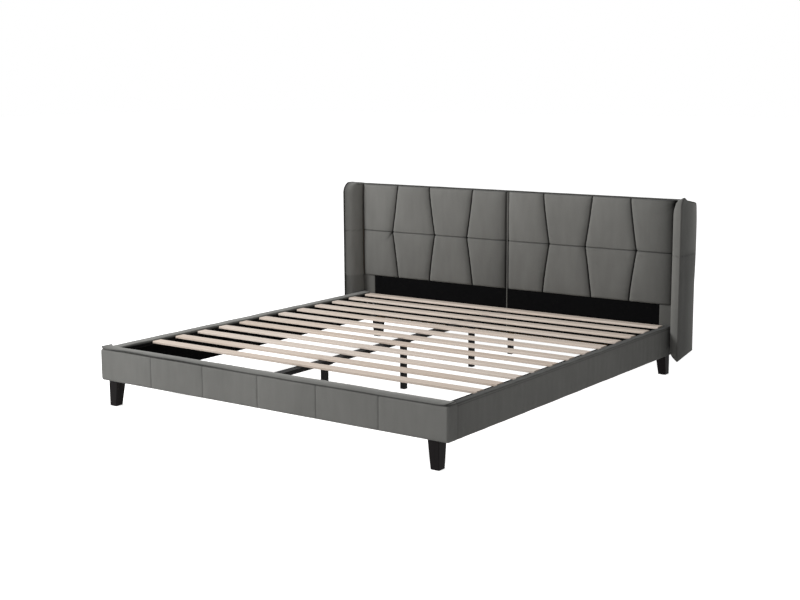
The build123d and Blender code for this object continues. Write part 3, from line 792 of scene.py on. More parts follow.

# %% [markdown]
# ## The tufted pads: painted light and shade
#
# Much of what the eye reads as folds is light and shade painted into the velvet's colour. Every seam, the
# middle joint and the strip under the top edge are painted dark as painted shade, the right of each pillow
# is painted in shade, a painted highlight runs beside its left seam, and higher up the pad is painted a
# little paler. Beside the wings the pads are painted darker: in the gap on both sides, and on the right in
# a wide soft shade as well.

# %% Painted light and shade on the pillows
pale_from = 9 * mm
pale_width = 6 * mm
pillow_shade = 26 * mm
joint_width = 3 * mm
joint_shade = 85 * mm
gap_dark = 5 * mm
gap_blur = 9 * mm
wing_shade = 88 * mm
seam_dark_width = 4.2 * mm
level_dark_width = 3.8 * mm
top_dark = 9 * mm


def pillow_painted_light(side, near, far):
    """A pillow's painted light and shade: a painted highlight beside its left seam, painted shade towards
    its right one.
    """
    to_left, to_right = (near, far) if side > 0 else (far, near)
    return 0.13 * bell(to_left - pale_from, pale_width) - 0.32 * fade(to_right, pillow_shade)


def joint_painted_shade(side, near):
    """Painted shade at the middle joint: a dark strip and seam, and on the left half a soft shade."""
    shade = 0.26 * fade(near, joint_shade) if side < 0 else 0
    return -0.30 * (near < edge_strip) - 0.45 * bell(near - edge_strip, joint_width) - shade


def wing_side_painted_shade(side, far):
    """Painted shade beside the wing: a dark gap, and on the right half a wide shade, deeper higher up."""
    gap = (0.35 if side < 0 else 0.10) * ramp(pad_gap + gap_dark - far, gap_blur)
    shade = (0.68 + pad_heights - pad_middle) * fade(far, wing_shade) if side > 0 else 0
    return -gap - shade


def pad_painted_light(z, aside):
    """Painted light and shade over the whole pad: paler higher up, dark in the seams and under the top edge.
    """
    seams = 0.62 * bell(aside, seam_dark_width) + 0.34 * bell(z - pad_middle, level_dark_width)
    return 0.58 * (z - pad_middle) - 0.02 - seams - 0.25 * (1 - rise(pad_top - z, top_dark))


def pillows(side):
    """All pillows of a pad side by side: x, how far they swell, and the light and shade painted on them."""
    columns, swells, pillow_shadings = [], [], []
    for number in range(last_pillow + 1):
        share = spaced(pillow_columns, 0.92)[: None if number == last_pillow else -1]
        start, end = pad_seams[:, number, None], pad_seams[:, number + 1, None]
        near, far = (end - start) * share, (end - start) * (1 - share)
        at_near = from_middle(near) if number == 0 else from_seam(near)
        at_far = from_outer_edge(far) if number == last_pillow else from_seam(far)
        pillow_shading = pillow_painted_light(side, near, far)
        if number == 0:
            pillow_shading = pillow_shading + joint_painted_shade(side, near)
        if number == last_pillow:
            pillow_shading = pillow_shading + wing_side_painted_shade(side, far)
        columns.append(start + near)
        swells.append(at_near * at_far)
        pillow_shadings.append(pillow_shading)
    return np.hstack(columns), np.hstack(swells), np.hstack(pillow_shadings)


print("a pad's grid has", len(pad_heights), "rows and", pillows(1)[0].shape[1], "columns")

# %% [markdown]
# ## The tufted pads: slack, puckers and the pads themselves
#
# Ripples run out from the seams, the whole face waves a little, and each tuft has its own puckers, a few
# short creases at chosen angles. Three more creases run from the top outer corner, where the cloth is
# folded in. Each crease both lowers the cloth and is painted darker, as painted shade. With that, a pad is
# its front over its flat back.

# %% Tufted pads
pull_slack, pull_wave = 0.85 * mm, 26 * mm
pull_reach = 26 * mm
pull_from = 5 * mm
face_slack, face_wave = 0.60 * mm, 150 * mm
face_reach = 30 * mm
rim_slack, rim_wave = 0.35 * mm, 30 * mm
rim_reach = 30 * mm
rim_from = 6 * mm
tuft_clear = 4 * mm
corner_in = Vector((8 * mm, 6 * mm))
corner_fold_width = 6 * mm

# Puckers: tuft number from the middle of the bed, angle, length, width and depth in millimetres
puckers = {
    "left": ((2, 232, 78, 6.0, 4.0), (2, 205, 30, 4.0, 1.2), (1, 140, 30, 4.5, 1.2), (1, 35, 26, 4.0, 1.0),
             (0, 215, 34, 4.5, 1.3), (0, 320, 26, 4.0, 1.0)),
    "right": ((0, 218, 34, 4.5, 1.8), (0, 148, 26, 4.0, 1.2), (0, 20, 24, 4.0, 0.9), (1, 200, 26, 4.5, 1.0),
              (2, 150, 34, 4.5, 1.8), (2, 34, 40, 5.0, 2.0), (2, 62, 30, 4.0, 1.0), (2, 212, 26, 4.0, 1.2)),
}

# Folds from the top outer corner: angle, length and depth in millimetres
corner_folds = ((200, 80, 2.2), (222, 95, 2.6), (244, 60, 1.8))


def pad_slack(across, z, aside, rim, seed):
    """Ripples drawn out from the seams, a slow wave over the face, and small waves along the rim."""
    pulled = pull_slack * fade(aside, pull_reach) * rise(aside, pull_from)
    open_face = face_slack * rise(aside, face_reach)
    along_rim = rim_slack * fade(rim, rim_reach) * rise(rim, rim_from)
    slack = pulled * ripple(across * 0.35, z, seed, pull_wave)
    slack += open_face * ripple(across, z, seed + 1, face_wave)
    return slack + along_rim * ripple(across, z * 0.3, seed + 2, rim_wave)


def pad_folds(name, side, across, z, aside):
    """Depth and painted shade of the creases: puckers at the tufts, and folds at the top outer corner."""
    depth, dark = 0, 0
    for number, angle, length, width, deep in puckers[name]:
        start = (tufts[number + 1] * side, pad_middle)
        fold = deep * crease(across, z, start, angle, length * mm, width * mm) * rise(aside, tuft_clear)
        depth, dark = depth + mm * fold, dark + 0.22 * fold
    corner = (side * (pad_high.x - corner_in.x), pad_high.z - corner_in.y)
    for angle, length, deep in corner_folds:
        mirrored = angle if side > 0 else 540 - angle
        fold = deep * crease(across, z, corner, mirrored, length * mm, corner_fold_width)
        depth, dark = depth + mm * fold, dark + 0.08 * fold
    return depth, dark


def pad(name, side, seed):
    """A pad's front as a height over (x, z), with its flat back: a grid that follows the seams."""
    x, swell, laid = pillows(side)
    z = np.broadcast_to(pad_heights, x.shape)
    across = x * side
    aside = np.min(np.abs(x[..., None] - pad_seams[:, None, 1:-1]), axis=-1)
    rim = np.minimum(z - pad_low.z, pad_top - z)
    depth, dark = pad_folds(name, side, across, z, aside)
    height = swollen(swell, aside, rim, np.abs(z - pad_middle))
    height = height + pad_slack(across, z, aside, rim, seed) - depth
    front = np.stack([across, pad_high.y - seam_bed - np.maximum(height, 0), z], axis=-1)
    back = np.stack([across, np.full_like(x, pad_high.y), z], axis=-1)
    points, faces = skin(front, back)
    # Painted light and shade of the pillows and of the whole pad, less the painted shade of the creases; the
    # back gets none.
    laid = laid + pad_painted_light(z, aside) - dark
    laid = np.concatenate([laid, np.zeros_like(laid)])
    piece = make_piece(f"tufted_pad_{name}", points, faces, velvet_finish,
                       [f"headboard_pad_{name}"], laid)


pad("left", -1, 11)
pad("right", 1, 23)

# %% [markdown]
# ## The top band and the middle welt
#
# Over the pads the velvet turns back across the top of the headboard. A piping cord is sewn into the
# turn, so a thin dark line runs under it. Each half has its own band. Down the joint between the halves a
# thin welt covers the raw edges; over the black lining it is the fine pale line that the eye catches. A
# cord is a small circle carried along a path.

# %% Top bands and middle welts
band_piping = 3 * mm
band_piping_share = 0.92
band_seat = 0.3 * mm
band_slack, band_wave = 0.3 * mm, 120 * mm
piping_slack, piping_wave = 0.35 * mm, 90 * mm
cord_end = 1 * mm
welt_radius = 1.3 * mm
welt_aside = 1.55 * mm
welt_out = 1.1 * mm


def tube(path, radius, reference, sides=10):
    """A cord: circles round the points of a path, each square to the path, with its ends closed."""
    path = np.asarray(path, float)
    onward = np.gradient(path, axis=0)
    onward /= np.linalg.norm(onward, axis=1, keepdims=True)
    across = np.cross(onward, reference)
    across /= np.linalg.norm(across, axis=1, keepdims=True)
    over = np.cross(across, onward)
    turn = np.linspace(0, 2 * np.pi, sides, endpoint=False)[None, :, None]
    circle = np.cos(turn) * across[:, None] + np.sin(turn) * over[:, None]
    points = path[:, None] + radius * circle
    return points.reshape(-1, 3), capped_rings(len(path), sides)


def ringed_piece(name, rings, finish, stands_for, laid=None):
    """A solid form from rings of points along it, closed by a flat face at each end."""
    faces = capped_rings(*rings.shape[:2])
    return make_piece(name, rings.reshape(-1, 3), faces, finish, stands_for, laid)


def top_band(name, seed):
    """A flat band with a low dome: a flattened half ellipse over a straight base, carried along X."""
    low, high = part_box(f"headboard_top_band_{name}")
    front_y = low.y + band_piping
    along = np.linspace(low.x, high.x, 180)[:, None]
    turn = np.linspace(0, np.pi, 26)[None, :]
    half = (high.y - front_y) / 2
    y = front_y + half - half * np.sign(np.cos(turn)) * np.abs(np.cos(turn)) ** 0.45
    share = (y - low.y) / (high.y - low.y)
    crown = (high.z - low.z - band_seat) * (1 - 0.82 * share)
    z = low.z + band_seat + crown * np.abs(np.sin(turn)) ** 0.5
    z = z + band_slack * ripple(along, y, seed, band_wave) * np.sin(turn)
    rings = np.stack([along + 0 * y, y + 0 * along, z + 0 * along], axis=-1)
    # The band takes the darker velvet copy, as painted shade.
    piece = ringed_piece(f"top_band_{name}", rings, shaded_velvet_finish, [f"headboard_top_band_{name}"])


def top_piping(name, seed):
    """The cord under the front of a top band: level, with a slight wobble."""
    low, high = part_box(f"headboard_top_band_{name}")
    x = np.linspace(low.x + cord_end, high.x - cord_end, 220)
    z = low.z + band_piping + piping_slack * ripple(x, 0 * x, seed, piping_wave)
    path = np.stack([x, np.full_like(x, low.y + band_piping), z], axis=-1)
    points, faces = tube(path, band_piping * band_piping_share, (0, 0, 1), 12)
    # The cord takes the darker velvet copy and a little more painted shade.
    make_piece(f"top_piping_{name}", points, faces, shaded_velvet_finish, (), -0.1)


def middle_welt(name, side):
    """A thin cord down the joint, from the underside to the top band."""
    low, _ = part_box(f"headboard_lower_lining_{name}")
    z = np.linspace(low.z + cord_end, pad_high.z - cord_end, 160)
    path = np.stack([np.full_like(z, side * welt_aside), np.full_like(z, low.y - welt_out), z], axis=-1)
    points, faces = tube(path, welt_radius, (0, 1, 0))
    make_piece(f"middle_welt_{name}", points, faces, velvet_finish)


for side_name, side in (("left", -1), ("right", 1)):
    top_band(side_name, 31 + side)
    top_piping(side_name, 36 + side)
    middle_welt(side_name, side)

# %% [markdown]
# ## Panels below the pads
#
# Behind the mattress the headboard has plain panels over thin foam: black lining for most of the width,
# and a strip of velvet at each outer end. A panel is a rectangle whose edges roll back, with the faint
# slack that stretched cloth keeps.

# %% Lower panels
panel_step = 9 * mm
panel_taut = 12 * mm
panel_wave = 130 * mm


def flat_panel(name, node, finish, seed, roll, slack, laid=None):
    """A thin padded rectangle: flat, with rolled edges and slack ripples, over the node's box."""
    low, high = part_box(node)
    columns = max(24, int((high.x - low.x) / panel_step))
    x = stretches((low.x, high.x), (columns,), 0.6)[None, :]
    z = stretches((low.z, high.z), (44,), 0.6)[:, None]
    rim = np.minimum(np.minimum(x - low.x, high.x - x), np.minimum(z - low.z, high.z - z))
    depth = roll * (1 - rise(rim, 2 * roll))
    depth = depth + slack * (1 + ripple(x, z, seed, panel_wave)) * rise(rim, panel_taut)
    front = np.stack([x + 0 * z, low.y + depth, z + 0 * x], axis=-1)
    back = np.stack([x + 0 * z, high.y + 0 * depth, z + 0 * x], axis=-1)
    points, faces = skin(front, back)
    piece = make_piece(name, points, faces, finish, [node], laid)


for side_name, seed in (("left", 41), ("right", 47)):
    flat_panel(f"lower_panel_{side_name}", f"headboard_lower_lining_{side_name}", lining_finish,
               seed, 2 * mm, 0.25 * mm)
    # The velvet strips at the outer ends are painted a little darker, as painted shade.
    flat_panel(f"post_panel_{side_name}", f"headboard_post_cover_{side_name}", velvet_finish,
               seed + 1, 3 * mm, 0.3 * mm, -0.3)

# %% [markdown]
# ## The wings: the outline
#
# A wing is a board in thick foam with velvet pulled round it. Seen from the side, its outline has four
# parts: a slanting underside that ends in a point at the front, an upright front, a round shoulder with a
# long slope to the back, and an upright back. The two wings were stuffed by hand and differ: the left one
# has a wide shoulder, the right one a tight one. The outline is wanted at many places across the
# thickness, so it is a function of how far it is drawn in there.

# %% A wing's outline
wing_inner_rise = 36 * mm
wing_rear_rise = 32 * mm
wing_soft_edge = 62 * mm
wing_soft_reach = 72 * mm
wing_hard_edge = 4 * mm
wing_outer_roll = 6 * mm
wing_back_edge = 9 * mm
wing_least_radius = 12 * mm
wing_corner_angle = math.radians(38)
wing_foot_lean = 14 * mm
swell_stop = 4 * mm
wing_rows, wing_columns = 130, 30
arc_rows, arc_columns = 14, 10
wing_middle_x = (wing_low.x + wing_high.x) / 2


def wing_underside(x, y):
    """Height of the underside: a plane that rises to the inner edge and to the back."""
    inner_share = (wing_high.x - x) / (wing_high.x - wing_low.x)
    rear_share = (y - wing_low.y) / (wing_high.y - wing_low.y)
    return wing_low.z + wing_inner_rise * inner_share + wing_rear_rise * rear_share


def wing_outline(shoulder, drop, x_front, x_rest, inset_front, inset_rest):
    """The outline's four sides as (x, y, z): low, high, front and back, drawn in by the insets."""
    front_y = wing_low.y + inset_front
    back_y = wing_high.y - (inset_rest if x_rest > wing_middle_x else 0)
    radius_y = max(shoulder - inset_front, wing_least_radius)
    radius_z = shoulder - inset_rest
    centre = (front_y + radius_y, wing_high.z - shoulder)

    def x_along(y):
        """Where x rests: swelled inwards as far back as the pad reaches."""
        beside_pad = ramp(pad_high.y + swell_stop - y, swell_stop)
        return x_rest - wing_swell * inset_front / wing_soft_reach * beside_pad

    def on_arc(angle):
        """The shoulder: an ellipse in side view, on which x passes from the front's place to its rest."""
        share = np.cos(angle) ** 2
        y = centre[0] - radius_y * np.cos(angle)
        x = x_front * share + x_along(y) * (1 - share)
        return np.stack([x, y, centre[1] + radius_z * np.sin(angle)], axis=-1)

    y = stretches((front_y, back_y), (wing_columns,), 0.5)
    at_front = fade(y - front_y, wing_foot_lean)
    x = x_front * at_front + x_along(y) * (1 - at_front)
    low = np.stack([x, y, wing_underside(x, y) + inset_rest], axis=-1)
    z = stretches((low[0, 2], centre[1]), (wing_rows - arc_rows,), 0.35)
    upright_part = np.stack([np.full_like(z, x_front), np.full_like(z, front_y), z], axis=-1)
    front = np.concatenate([upright_part, on_arc(np.linspace(0, wing_corner_angle, arc_rows + 1))[1:]])
    over = on_arc(np.linspace(wing_corner_angle, np.pi / 2, arc_columns + 1))
    y = stretches((over[-1, 1], back_y), (wing_columns - arc_columns,), 0.3)[1:]
    share = (y - over[-1, 1]) / (wing_high.y - over[-1, 1])
    inner_share = (wing_high.x - x_rest) / (wing_high.x - wing_low.x)
    share = share + inner_share * (share ** 2.2 - share)
    slope = np.stack([x_along(y), y, over[-1, 2] - drop * share], axis=-1)
    high = np.concatenate([over, slope])
    z = stretches((low[-1, 2], high[-1, 2]), (wing_rows,), 0.35)
    back = np.stack([np.full_like(z, x_rest), np.full_like(z, back_y), z], axis=-1)
    return low, high, front, back


print("a wing's underside rises", round(wing_inner_rise + wing_rear_rise, 3), "m from its point")

# %% [markdown]
# ## The wings: two faces and a rim
#
# A face is the patch between the four curves: the two ruled surfaces added, less the flat patch of the
# corners. The rim carries the outline across the thickness from the inner face to the outer one. The
# inner front edge is soft and round, so there a quarter circle draws the outline far in; the outer edge
# is almost sharp. Two level seams go round the wing, one level with the pad's lower edge and one with its
# level seam, and they press the cloth in a little.

# %% Faces, rim and seams
wing_seam_heights = (pad_low.z, pad_middle)
wing_seam_reach = 2.6 * mm
wing_front_reach = 12 * mm
wing_front_press = 1.3 * mm
wing_front_slack, wing_front_wave = 0.5 * mm, 110 * mm
wing_side_press = 1.6 * mm
wing_press_reach = 10 * mm
wing_side_slack, wing_side_wave = 0.8 * mm, 90 * mm
wing_side_puff = {"left": 1 * mm, "right": 3 * mm}
wing_puff_reach = 45 * mm
wing_rim_puff = 1.2 * mm


def wing_stations():
    """From the inner face to the outer one: x at the front, x elsewhere, and the insets of both."""
    quarter = np.linspace(0, np.pi / 2, 19)
    inmost = wing_low.x - wing_swell
    rest_from = wing_low.x + wing_back_edge
    flat_from, flat_to = inmost + wing_soft_edge, wing_high.x - wing_outer_roll
    stations = []
    for angle in quarter:
        draw, go = 1 - np.sin(angle), 1 - np.cos(angle)
        x_front = inmost + wing_soft_edge * go
        x_rest = wing_low.x + wing_back_edge * go
        stations.append((x_front, x_rest, wing_soft_reach * draw, wing_back_edge * draw))
    for share in np.linspace(0, 1, 7)[1:-1]:
        puff = -wing_rim_puff * 4 * share * (1 - share)
        x_front = flat_from + (flat_to - flat_from) * share
        x_rest = rest_from + (flat_to - rest_from) * share
        stations.append((x_front, x_rest, puff, puff))
    for angle in quarter[::3]:
        draw, go = 1 - np.cos(angle), np.sin(angle)
        x = flat_to + wing_outer_roll * go
        stations.append((x, x, wing_hard_edge * draw, wing_outer_roll * draw))
    return stations


def wing_face(low, high, front, back):
    """The patch between four border curves, rows upward and columns towards the back."""
    s = np.linspace(0, 1, wing_columns + 1)[None, :, None]
    t = np.linspace(0, 1, wing_rows + 1)[:, None, None]
    ruled = (1 - t) * low[None] + t * high[None] + (1 - s) * front[:, None] + s * back[:, None]
    flat = (1 - t) * ((1 - s) * low[0] + s * low[-1]) + t * ((1 - s) * high[0] + s * high[-1])
    return ruled - flat


def as_ring(low, high, front, back):
    """The outline as one ring of points: along the bottom, up the back, along the top and down the front."""
    return np.concatenate([low[:-1], back[:-1], high[::-1][:-1], front[::-1][:-1]])


def wing_seams(z):
    """1 on the level seams of the wing and 0 away from them."""
    return sum(fade(np.abs(z - height), wing_seam_reach) for height in wing_seam_heights)


def soften_rim(rim, seed):
    """Press the seams into the front of the rim and let its cloth ripple, in place."""
    at_front = fade(np.maximum(rim[..., 1] - wing_low.y, 0), wing_front_reach)
    rim[..., 1] += wing_front_press * wing_seams(rim[..., 2]) * at_front
    rim[..., 1] += wing_front_slack * ripple(rim[..., 0], rim[..., 2], seed, wing_front_wave) * at_front


def puff_side(outer, puff, seed):
    """Swell the outer face away from its edges, with slack ripples and the two seams, in place."""
    x, y, z = outer[..., 0].copy(), outer[..., 1], outer[..., 2]
    to_upright = np.minimum(y - wing_low.y, wing_high.y - y)
    to_level = np.minimum(z - wing_underside(x, y), wing_high.z - z)
    edge = np.minimum(to_upright, to_level)
    puffed = rise(np.maximum(edge - wing_hard_edge, 0), wing_puff_reach)
    outer[..., 0] += puff * puffed
    outer[..., 0] += wing_side_slack * puffed * ripple(y, z * 0.5, seed, wing_side_wave)
    outer[..., 0] -= wing_side_press * wing_seams(z) * rise(edge, wing_press_reach)


print("a wing is", len(wing_stations()), "outlines between its two faces")

# %% [markdown]
# ## The wings: pressed corners and painted light
#
# By now two corners at the top of a wing are square. Pressing makes a corner round: seen along one axis
# the square becomes a quarter ellipse. The corner at the top of the back is pressed on both wings. The
# inner corner at the top of the front is pressed on the right wing alone, where its cloth also stands up
# in a small peak at the outer corner, and where the rear of the side bulges a little. The light and shade
# painted on the right wing are almost even. On the left wing the painted light runs from nearly black at
# the outer edge to pale at the inner one.

# %% Corners and painted light of a wing
wing_inner_corner = Vector((66 * mm, 84 * mm))
wing_rear_corner = 18 * mm
press_to = pad_high.y - 8 * mm
press_fade = 32 * mm
wing_ear = 11 * mm
wing_ear_y = wing_low.y + 36 * mm
wing_ear_width = 34 * mm
wing_ear_blur = 26 * mm
wing_ear_rise = 40 * mm
wing_ear_length = 20 * mm
rear_from = wing_low.y + 41 * mm
rear_bulge = 4 * mm
bulge_from = 500 * mm
bulge_reach = 200 * mm
bulge_below = 130 * mm
bulge_inward = 40 * mm
top_from = 740 * mm
top_reach = 200 * mm
roof_band = 20 * mm
roof_blur = 10 * mm
roof_from = wing_low.y + 50 * mm
high_blur = 30 * mm
wing_seam_shade_width = 3 * mm


def press_corner(out, up, amount=1.0):
    """A square corner pressed to a quarter ellipse.

    Each share is multiplied by the root of 1 less half the square of the other share.
    """
    out_share, up_share = np.clip(out, 0, 1), np.clip(up, 0, 1)
    return (out - amount * out_share * (1 - np.sqrt(1 - up_share ** 2 / 2)),
            up - amount * up_share * (1 - np.sqrt(1 - out_share ** 2 / 2)))


def press_inner_corner(points, pressed):
    """Press the inner top corner round, less and less towards the headboard, in place."""
    inner, down = wing_inner_corner
    from_x, from_z = wing_low.x - wing_swell + inner, wing_high.z - down
    amount = pressed * ramp(press_to - points[:, 1], press_fade)
    out, up = press_corner((from_x - points[:, 0]) / inner, (points[:, 2] - from_z) / down, amount)
    points[:, 0], points[:, 2] = from_x - out * inner, from_z + up * down


def press_rear_corner(points, shoulder, drop):
    """Press the corner at the top of the back round, in place."""
    slope_from = wing_low.y + shoulder
    roof = wing_high.z - drop * (points[:, 1] - slope_from) / (wing_high.y - slope_from)
    from_y, from_z = wing_high.y - wing_rear_corner, roof - wing_rear_corner
    out = (points[:, 1] - from_y) / wing_rear_corner
    out, up = press_corner(out, (points[:, 2] - from_z) / wing_rear_corner)
    points[:, 1], points[:, 2] = from_y + out * wing_rear_corner, from_z + up * wing_rear_corner


def round_wing(points, shoulder, drop, pressed):
    """Press both top corners, and raise the small peak where the inner one is pressed, in place."""
    press_inner_corner(points, pressed)
    press_rear_corner(points, shoulder, drop)
    outward = ramp(points[:, 0] - wing_high.x + wing_ear_width, wing_ear_blur)
    upward = ramp(points[:, 2] - wing_high.z + wing_ear_rise, wing_ear_rise)
    peak = outward * upward * bell(points[:, 1] - wing_ear_y, wing_ear_length)
    points[:, 2] += pressed * wing_ear * peak


def share_behind(points):
    """0 on the front part of a wing, and on to 1 at its back."""
    return ramp(points[:, 1] - rear_from, wing_high.y - rear_from)


def bulge_rear(points, drop):
    """Let the rear of the outer side swell a little, most of all above half height, in place."""
    below = rise(wing_high.z - drop - points[:, 2], bulge_below)
    height = below * rise(points[:, 2] - bulge_from, bulge_reach)
    outer_part = ramp(points[:, 0] - wing_low.x, bulge_inward)
    points[:, 0] += rear_bulge * share_behind(points) * height * outer_part


def wing_painted_light(points, name):
    """Painted light and shade on a wing: by the share of the way inwards in front, and paler to the back
    outside.
    """
    inward = ramp(wing_high.x - points[:, 0], wing_high.x - wing_low.x + wing_swell)
    rear = share_behind(points)
    outer_side = np.clip(1 - inward * 12, 0, 1)
    low_part = points[:, 2] < wing_seam_heights[0]
    high_part = ramp(points[:, 2] - wing_seam_heights[1], high_blur)
    top_part = ramp(points[:, 2] - top_from, top_reach)
    if name == "left":
        roof = ramp(points[:, 2] - wing_high.z + roof_band, roof_blur)
        top_part = top_part - 5 * roof * (points[:, 1] > roof_from)
        front = -0.84 + 1.9 * inward - 0.55 * inward ** 2 + 0.08 * top_part - 0.26 * low_part
    else:
        front = -0.05 + 0.30 * inward + 0.10 * top_part - 0.06 * low_part
    outer = -0.36 + 0.7 * rear ** 2 + (0.10 + 0.45 * rear) * high_part + 0.10 * top_part
    # Painted shade along the upper level seam.
    painted_shade = 0.30 * bell(points[:, 2] - wing_seam_heights[1], wing_seam_shade_width)
    return front * (1 - outer_side) + outer * outer_side - painted_shade


print("the right wing's peak stands", wing_ear, "m high")

# %% [markdown]
# ## The wings and their cords
#
# Each wing gets its own shoulder, and its own drop of the top towards the back. A thick cord is sewn into
# the outer edge. It follows the same outline a little further in: from the back along the underside to
# the point, up the front and over the shoulder to the back.

# %% Wings
cord_inset = {"left": 2.0 * mm, "right": 2.5 * mm}
cord_radius = {"left": 5.6 * mm, "right": 4.8 * mm}
# The cords take the darker velvet copy; the left cord is painted darker still and the right one paler, as
# painted shade and light.
cord_painted_light = {"left": -0.75, "right": 0.4}
left_cord_top = wing_high.z - 5 * mm
wing_sharp_from = 80


def wing(name, side, shoulder, drop, seed):
    """Two faces and the rim between them, swelled between the seams and pressed in along them."""
    outlines = [wing_outline(shoulder, drop, *station) for station in wing_stations()]
    rim = np.stack([as_ring(*outline) for outline in outlines])
    soften_rim(rim, seed)
    inner, outer = wing_face(*outlines[0]), wing_face(*outlines[-1])
    puff_side(outer, wing_side_puff[name], seed + 1)
    face = quads(np.arange(inner.shape[0] * inner.shape[1]).reshape(inner.shape[:2]))
    points, faces = join_skins(
        (rim.reshape(-1, 3), ring_quads(*rim.shape[:2])),
        (inner.reshape(-1, 3), face),
        (outer.reshape(-1, 3), face[:, ::-1]),
    )
    round_wing(points, shoulder, drop, float(name == "right"))
    # Painted light and shade on the wing, worked out before the rear bulges.
    laid = wing_painted_light(points, name)
    if name == "right":
        bulge_rear(points, drop)
    points[:, 0] *= side
    piece = make_piece(f"wing_{name}", points, faces, velvet_finish,
                       [f"wing_cover_{name}"], laid, wing_sharp_from)


def wing_cord(name, side, shoulder, drop):
    """The cord in the outer edge: the outline without its back, carried by a circle."""
    inset, radius = cord_inset[name], cord_radius[name]
    x = wing_high.x - radius
    low, high, front, _ = wing_outline(shoulder, drop, x, x, inset, inset)
    path = np.concatenate([low[::-1][:-1], front[:-1], high])
    round_wing(path, shoulder, drop, float(name == "right"))
    if name == "left":
        path[:, 2] = np.minimum(path[:, 2], left_cord_top)
    path[:, 0] *= side
    points, faces = tube(path, radius, (1, 0, 0), 12)
    make_piece(f"wing_welt_{name}", points, faces, shaded_velvet_finish, (), cord_painted_light[name])


for side_name, side, shoulder, drop in (("left", -1, 62 * mm, 18 * mm), ("right", 1, 28 * mm, 27 * mm)):
    wing(side_name, side, shoulder, drop, 53 + side)
    wing_cord(side_name, side, shoulder, drop)

# %% [markdown]
# ## Rail covers
#
# A side rail is a board with foam outside and velvet wrapped round it, up to the slats inside. A seam
# runs along the outer side just under the top edge. In section the cover is a closed loop; the foam makes
# the outer side swell a little. The loop is carried along the rail, and soft ripples keep it from looking
# like a plank. Inside below the slats the cover is painted nearly black, and the seam and both ends are
# painted darker, all as painted shade; the top is painted paler on the left rail and darker on the right.
# On the left rail the foam lifts the outer edge by some millimetres.

# %% The section of a rail cover
rail_low, rail_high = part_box("rail_cover_right")
rail_board_low, rail_board_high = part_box("rail_board_right")
rail_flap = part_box("rail_lining_right")[1].z
rail_edge = 8 * mm
rail_swell = 2.5 * mm
rail_skim = 1 * mm
rail_under_in = 1.5 * mm
flat_points = 8


def rail_section(count=30):
    """The cover's loop in section (x, z): up the inside, over the top, down outside and round the board."""
    corner = np.linspace(0, np.pi / 2, 9)
    inner_x, outer_x = rail_low.x, rail_high.x - rail_swell
    top, bottom = rail_high.z, rail_low.z
    over, down = rail_edge * (1 - np.cos(corner)), rail_edge * (1 - np.sin(corner))
    z = np.linspace(rail_flap, top - rail_edge, flat_points)
    inside = np.stack([np.full_like(z, inner_x), z], axis=-1)
    turn_in = np.stack([inner_x + over, top - down], axis=-1)
    x = np.linspace(inner_x + rail_edge, outer_x - rail_edge, flat_points)
    roof = np.stack([x, np.full_like(x, top)], axis=-1)
    turn_out = np.stack([outer_x - down, top - over], axis=-1)
    z = stretches((top - rail_edge, bottom + rail_skim), (count,), 0.5)
    share = (z - bottom) / (top - bottom)
    outside = np.stack([outer_x + rail_swell * 4 * share * (1 - share), z], axis=-1)
    x = np.linspace(outer_x - rail_under_in, rail_board_low.x, 6)
    under = np.stack([x, np.full_like(x, bottom)], axis=-1)
    z = np.linspace(bottom + rail_skim, rail_flap, flat_points)
    wall = np.stack([np.full_like(z, rail_board_low.x), z], axis=-1)
    loop = np.concatenate([inside, turn_in[1:], roof[1:], turn_out[1:], outside[1:], under, wall])
    doubled = np.linalg.norm(loop - np.roll(loop, 1, axis=0), axis=1) < merge_within
    return loop[~doubled]


print("a rail cover's section has", len(rail_section()), "points")

# %% Rail covers
rail_seam_drop = 10 * mm
rail_seam_width = 1.5 * mm
rail_seam_depth = 1.7 * mm
rail_below = 6 * mm
rail_slack, rail_wave = 0.8 * mm, 140 * mm
rail_fine_slack, rail_fine_wave = 0.35 * mm, 38 * mm
rail_outer_blur = 6 * mm
rail_end_in = 2.0 * mm
rail_end_reach = 8 * mm
rail_roof = 5 * mm
rail_roof_slack, rail_roof_wave = 0.5 * mm, 120 * mm
rail_inside = 4 * mm
rail_inside_blur = 3 * mm
inside_shade_blur = 4 * mm
rear_dark_reach = 220 * mm
front_dark_reach = 140 * mm


